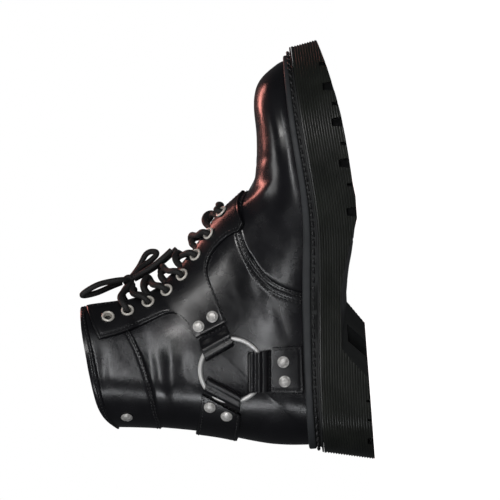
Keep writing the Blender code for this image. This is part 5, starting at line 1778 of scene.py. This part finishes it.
# The bow, as in the solids: offsets from the knot's centre in shares of LACE_DIAMETER.
KNOT_SIZE = 1.7
KNOT_AT = (5, 0.62)
BOW = {
    "lace_loop_lateral": (
        (0.02, -1.58, 0.03), (0.15, -2.5, 0.5), (0.0, -3.7, 3.4), (-1.0, -4.7, 6.6), (-1.9, -4.3, 7.9),
        (-1.9, -3.3, 6.4), (-1.0, -1.6, 3.4), (-0.28, -0.75, 1.20),
    ),
    "lace_loop_medial": (
        (0.02, 1.58, -0.02), (0.4, 2.5, -0.35), (2.7, 3.6, -2.2), (4.6, 4.2, -3.9), (4.4, 3.7, -5.0),
        (3.0, 2.9, -3.8), (1.95, 1.95, -2.1), (0.76, 0.98, -1.04),
    ),
    "lace_end_lateral": ((0.35, -0.77, -0.94), (1.0, -1.1, -2.3), (2.5, -1.5, -5.0), (4.6, -1.9, -7.8)),
    "lace_end_medial": ((0.15, 0.30, -1.00), (0.85, 0.2, -2.6), (2.45, 0.5, -5.6), (4.75, 1.2, -8.6)),
}


@functools.lru_cache(maxsize=None)
def knot_centre():
    return lace_centre(*KNOT_AT, OVER_THROAT + LACE_DIAMETER + 0.55 + KNOT_SIZE * LACE_RADIUS)


def make_knot():
    """Three turns of the cord wrapped round the bow's middle."""
    centre = knot_centre()
    count = 150
    turns = np.linspace(0, 3 * 2 * math.pi, count)
    wide = KNOT_SIZE * LACE_RADIUS - 1.15
    y = np.linspace(-3.0, 3.0, count)
    coil = centre + np.stack([wide * np.cos(turns), y, wide * np.sin(turns)], axis=-1)
    core = centre + np.stack([0 * y, y * 1.3, 0 * y], axis=-1)
    ends = np.clip(np.minimum(np.arange(count), np.arange(count)[::-1]) / 8.0, 0.3, 1)
    tubes = [tube_mesh(coil, 1.75 * ends), tube_mesh(core[::10], LACE_RADIUS)]
    return lace_piece("lace_knot_dressed", tubes, ["lace_knot"])


def make_bow():
    """The knot, and the bow's four free cords."""
    on_first = [make_knot()]
    for name, table in BOW.items():
        line = smooth_line(knot_centre() + np.array(table) * LACE_DIAMETER, 90)
        made = lace_piece(name + "_dressed", [tube_mesh(line, LACE_RADIUS)], [name])
        on_first = []


make_crossings()
make_bow()


# One stitch: along it as a share of its length, then its thickness and height in shares of the
# thread's radius.
STITCH_SHAPE = (
    (-0.50, 0.25, -0.9), (-0.40, 0.75, -0.35), (-0.15, 1.0, 0.25),
    (0.15, 1.0, 0.25), (0.40, 0.75, -0.35), (0.50, 0.25, -0.9),
)
STITCH_SIDES = 6


def stitch_run(line, up, pitch=2.7, length=2.2, radius=0.45, slant=0.0):
    """Stitches along a line on a surface: points and faces. up holds the surface's normals."""
    run = travelled(line)
    count = max(1, int(run[-1] / pitch))
    at = (np.arange(count) + 0.5) * run[-1] / count
    centre = read_line(line, run, at)
    along = unit(read_line(line, run, at + 0.4) - read_line(line, run, at - 0.4))
    normal = read_line(up, run, at)
    normal = unit(normal - along * np.sum(along * normal, axis=1, keepdims=True))
    along = unit(along + np.cross(normal, along) * slant)
    across = np.cross(normal, along)
    angle = 2 * math.pi * np.arange(STITCH_SIDES) / STITCH_SIDES
    cosine = np.cos(angle)[None, :, None]
    sine = np.sin(angle)[None, :, None]
    rings = []
    for share, thick, height in STITCH_SHAPE:
        middle = centre + along * share * length + normal * height * radius
        rings.append(middle[:, None] + radius * thick * (cosine * across[:, None] + sine * normal[:, None]))
    points = np.stack(rings, axis=1).reshape(-1, 3)
    each = len(STITCH_SHAPE) * STITCH_SIDES
    sides = ring_faces(len(STITCH_SHAPE), STITCH_SIDES)
    faces = (sides[None] + (np.arange(count) * each)[:, None, None]).reshape(-1, 4)
    return points, faces.tolist()


def stitches(name, runs):
    """One piece of thread from several runs."""
    piece(name, *joined(runs), THREAD, "black_leather", sharp=80.0, closed=False)


def on_upper(s, across, side):
    """A line on the dressed upper's face with its normals."""
    t = across * throat_edge(s, side)
    lift = outer_lift(s, across, side, t)
    return point(s, t, side, lift), surface_normal(s, t, side)


def rows_past(line_of, across, side, offset):
    """The section rows a distance in millimetres behind a seam's line."""
    seam = line_of(across)
    here, ahead = (plain_point(s, across * throat_edge(s, side), side) for s in (seam, seam + 0.05))
    pace = np.linalg.norm(ahead - here, axis=-1) / 0.05
    return seam + offset / np.maximum(pace, 1.0)


def upper_runs(side):
    """The rows behind the vamp seam, over the cuff's line and along the binding."""
    rows = [(vamp_seam, offset, np.linspace(0.075, 0.985, 160)) for offset in SEAM_OFFSETS]
    rows += [(cuff_line, offset, np.linspace(0.01, 0.80, 140)) for offset in CUFF_OFFSETS]
    runs = []
    for line_of, offset, across in rows:
        runs.append(stitch_run(*on_upper(rows_past(line_of, across, side, offset), across, side)))
    across = np.linspace(0.01, 0.97, 140)
    binding = binding_line(across) + BINDING_SHARE * (TOP_ROW - binding_line(across))
    runs.append(stitch_run(*on_upper(binding, across, side)))
    return runs


THREAD_SINK = 0.22


def border_run(grid, side, border, keep, low=None):
    """Stitches inside one long border of a strap's grid: low is the lift of a strap that lies flat."""
    s, t = grid
    total = np.linalg.norm(np.diff(point(s, t, side), axis=1), axis=-1).sum(axis=1)
    inset = STITCH_INSET / np.maximum(total, 2 * STITCH_INSET)
    shares = inset if border == 0 else 1 - inset
    at = np.linspace(0, 1, s.shape[1])
    row_s, row_t = (
        np.array([np.interp(share, at, row) for share, row in zip(shares, values)])[keep] for values in grid
    )
    if low is None:
        low = base_lift(row_s, row_t, side) + GAP
    line = point(row_s, row_t, side, low + STRAP_THICK - THREAD_SINK)
    return stitch_run(line, surface_normal(row_s, row_t, side))


def strap_runs(side):
    """The rows inside the long borders of the eyestay, the side strap and the heel strap."""
    across = np.linspace(0, 1, 40)
    grid = eyestay_grid(side, across)
    end = len(grid[0]) - 3
    edge_rows = eyestay_edge()[:, 0]
    first, last = (EYESTAY_EDGE[corner][0] for corner in EYESTAY_CORNERS)
    ahead = int(np.where(edge_rows < first - 0.05)[0][-1])
    behind = int(np.where(edge_rows > last + 0.05)[0][0])
    stretches = ((0, slice(4, end)), (1, slice(4, ahead)), (1, slice(behind, end)))
    runs = [border_run(grid, side, border, keep) for border, keep in stretches]
    grid = side_strap_grid(side, np.linspace(0, 1, 30), across)
    runs += [border_run(grid, side, border, slice(1, 29), SIDE_STRAP_LIFT) for border in (0, 1)]
    grid = heel_strap_grid(side, np.linspace(0, 1, 50), across)
    runs += [border_run(grid, side, border, slice(1, 50), HEEL_STRAP_LIFT) for border in (0, 1)]
    return runs


def loop_runs(side):
    """The row of stitches that closes each fold behind the ring."""
    runs = []
    for key in FOLDS:
        length, foot, away = fold_lines(key, np.linspace(0.07, 0.93, 40))
        x, z = (foot + away * (length - 1.1)).T
        s, t = find(x, z, side)
        line = point(s, t, side, base_lift(s, t, side) + FACE + 0.85)
        runs.append(stitch_run(line, surface_normal(s, t, side), pitch=2.6, length=2.1, radius=0.42))
    return runs


def welt_runs():
    """The thick stitches in the band, painted dark as shade, between the welt's rib and the sole's edge."""
    foot, edge = WELT_RINGS[-6], WELT_RINGS[-3]
    line = (foot + edge) / 2 + (0.0, 0.0, 0.55)
    up = np.column_stack([outward(foot[:, :2]) * 0.6, np.full(len(foot), 0.8)])
    line, up = (np.vstack([values, values[:1]]) for values in (line, up))
    return [stitch_run(line, up, pitch=6.3, length=5.0, radius=1.0, slant=0.12)]


for side in (-1, 1):
    stitches("upper_stitches_" + WORDS[side], upper_runs(side))
    stitches("strap_stitches_" + WORDS[side], strap_runs(side) + loop_runs(side))
stitches("welt_stitches", welt_runs())


# Soft area lights: name, place, size, power and colour. All point at LIT.
LIT = Vector((0.10, 0.0, 0.08))
LIGHTS = (
    ("key", (0.75, -1.5, 0.75), (0.13, 0.9), 7.5, (1.0, 0.99, 0.98)),
    ("low_band", (0.35, -1.3, 0.07), (1.4, 0.08), 4.2, (0.97, 0.98, 1.0)),
    ("fill", (-1.0, -1.2, 0.55), (0.10, 0.9), 4.0, (0.95, 0.97, 1.0)),
    ("back_warm", (0.62, 0.8, 1.0), (0.8, 0.2), 5.0, (1.0, 0.36, 0.30)),
    ("top", (0.0, -0.1, 1.6), (0.4, 0.8), 3.0, (1.0, 1.0, 1.0)),
)
WORLD_GLOW = 0.05


def make_light():
    """The lights, and a world that is white to the camera and dim to everything else."""
    for name, where, size, power, colour in LIGHTS:
        data = bpy.data.lights.new(name, "AREA")
        data.shape = "RECTANGLE"
        data.size, data.size_y = size
        data.energy = power
        data.color = colour
        made = linked(name, data)
        made.location = where
        made.rotation_mode = "QUATERNION"
        made.rotation_quaternion = (LIT - made.location).to_track_quat("-Z", "Y")
    world = bpy.data.worlds.new("studio")
    bpy.context.scene.world = world
    world.use_nodes = True
    tree = world.node_tree
    tree.nodes.clear()
    seen = node(tree, "ShaderNodeBackground", {"Color": (1.0, 1.0, 1.0, 1.0), "Strength": 1.0})
    dim = node(tree, "ShaderNodeBackground", {"Color": (0.92, 0.95, 1.0, 1.0), "Strength": WORLD_GLOW})
    ray = node(tree, "ShaderNodeLightPath").outputs["Is Camera Ray"]
    both = node(tree, "ShaderNodeMixShader", {0: ray, 1: dim.outputs[0], 2: seen.outputs[0]})
    node(tree, "ShaderNodeOutputWorld", {"Surface": both.outputs[0]})
    bpy.context.scene.view_settings.view_transform = "Standard"


FLOOR_HALF = 40.0
FLOOR_DROP = 0.0002


def make_floor():
    """A pale floor that glows for the camera alone, so that it meets the white world."""
    mesh = bpy.data.meshes.new("floor")
    corners = [(x * FLOOR_HALF, y * FLOOR_HALF, -FLOOR_DROP) for x, y in ((-1, -1), (1, -1), (1, 1), (-1, 1))]
    mesh.from_pydata(corners, [], [(0, 1, 2, 3)])
    made = linked("floor", mesh)
    pale = finish(
        "pale_floor", (0.86, 0.86, 0.86), (0.90, 0.90, 0.90), (0.7, 0.8),
        (("noise", 300.0, 0.05, 0.0001),), scale=6.0,
    )
    shader = pale.node_tree.nodes["Principled BSDF"]
    shader.inputs["Emission Color"].default_value = (1.0, 1.0, 1.0, 1.0)
    shader.inputs["Emission Strength"].default_value = 1.0
    mesh.materials.append(pale)
    made.visible_glossy = False
    made.visible_diffuse = False


make_light()
make_floor()
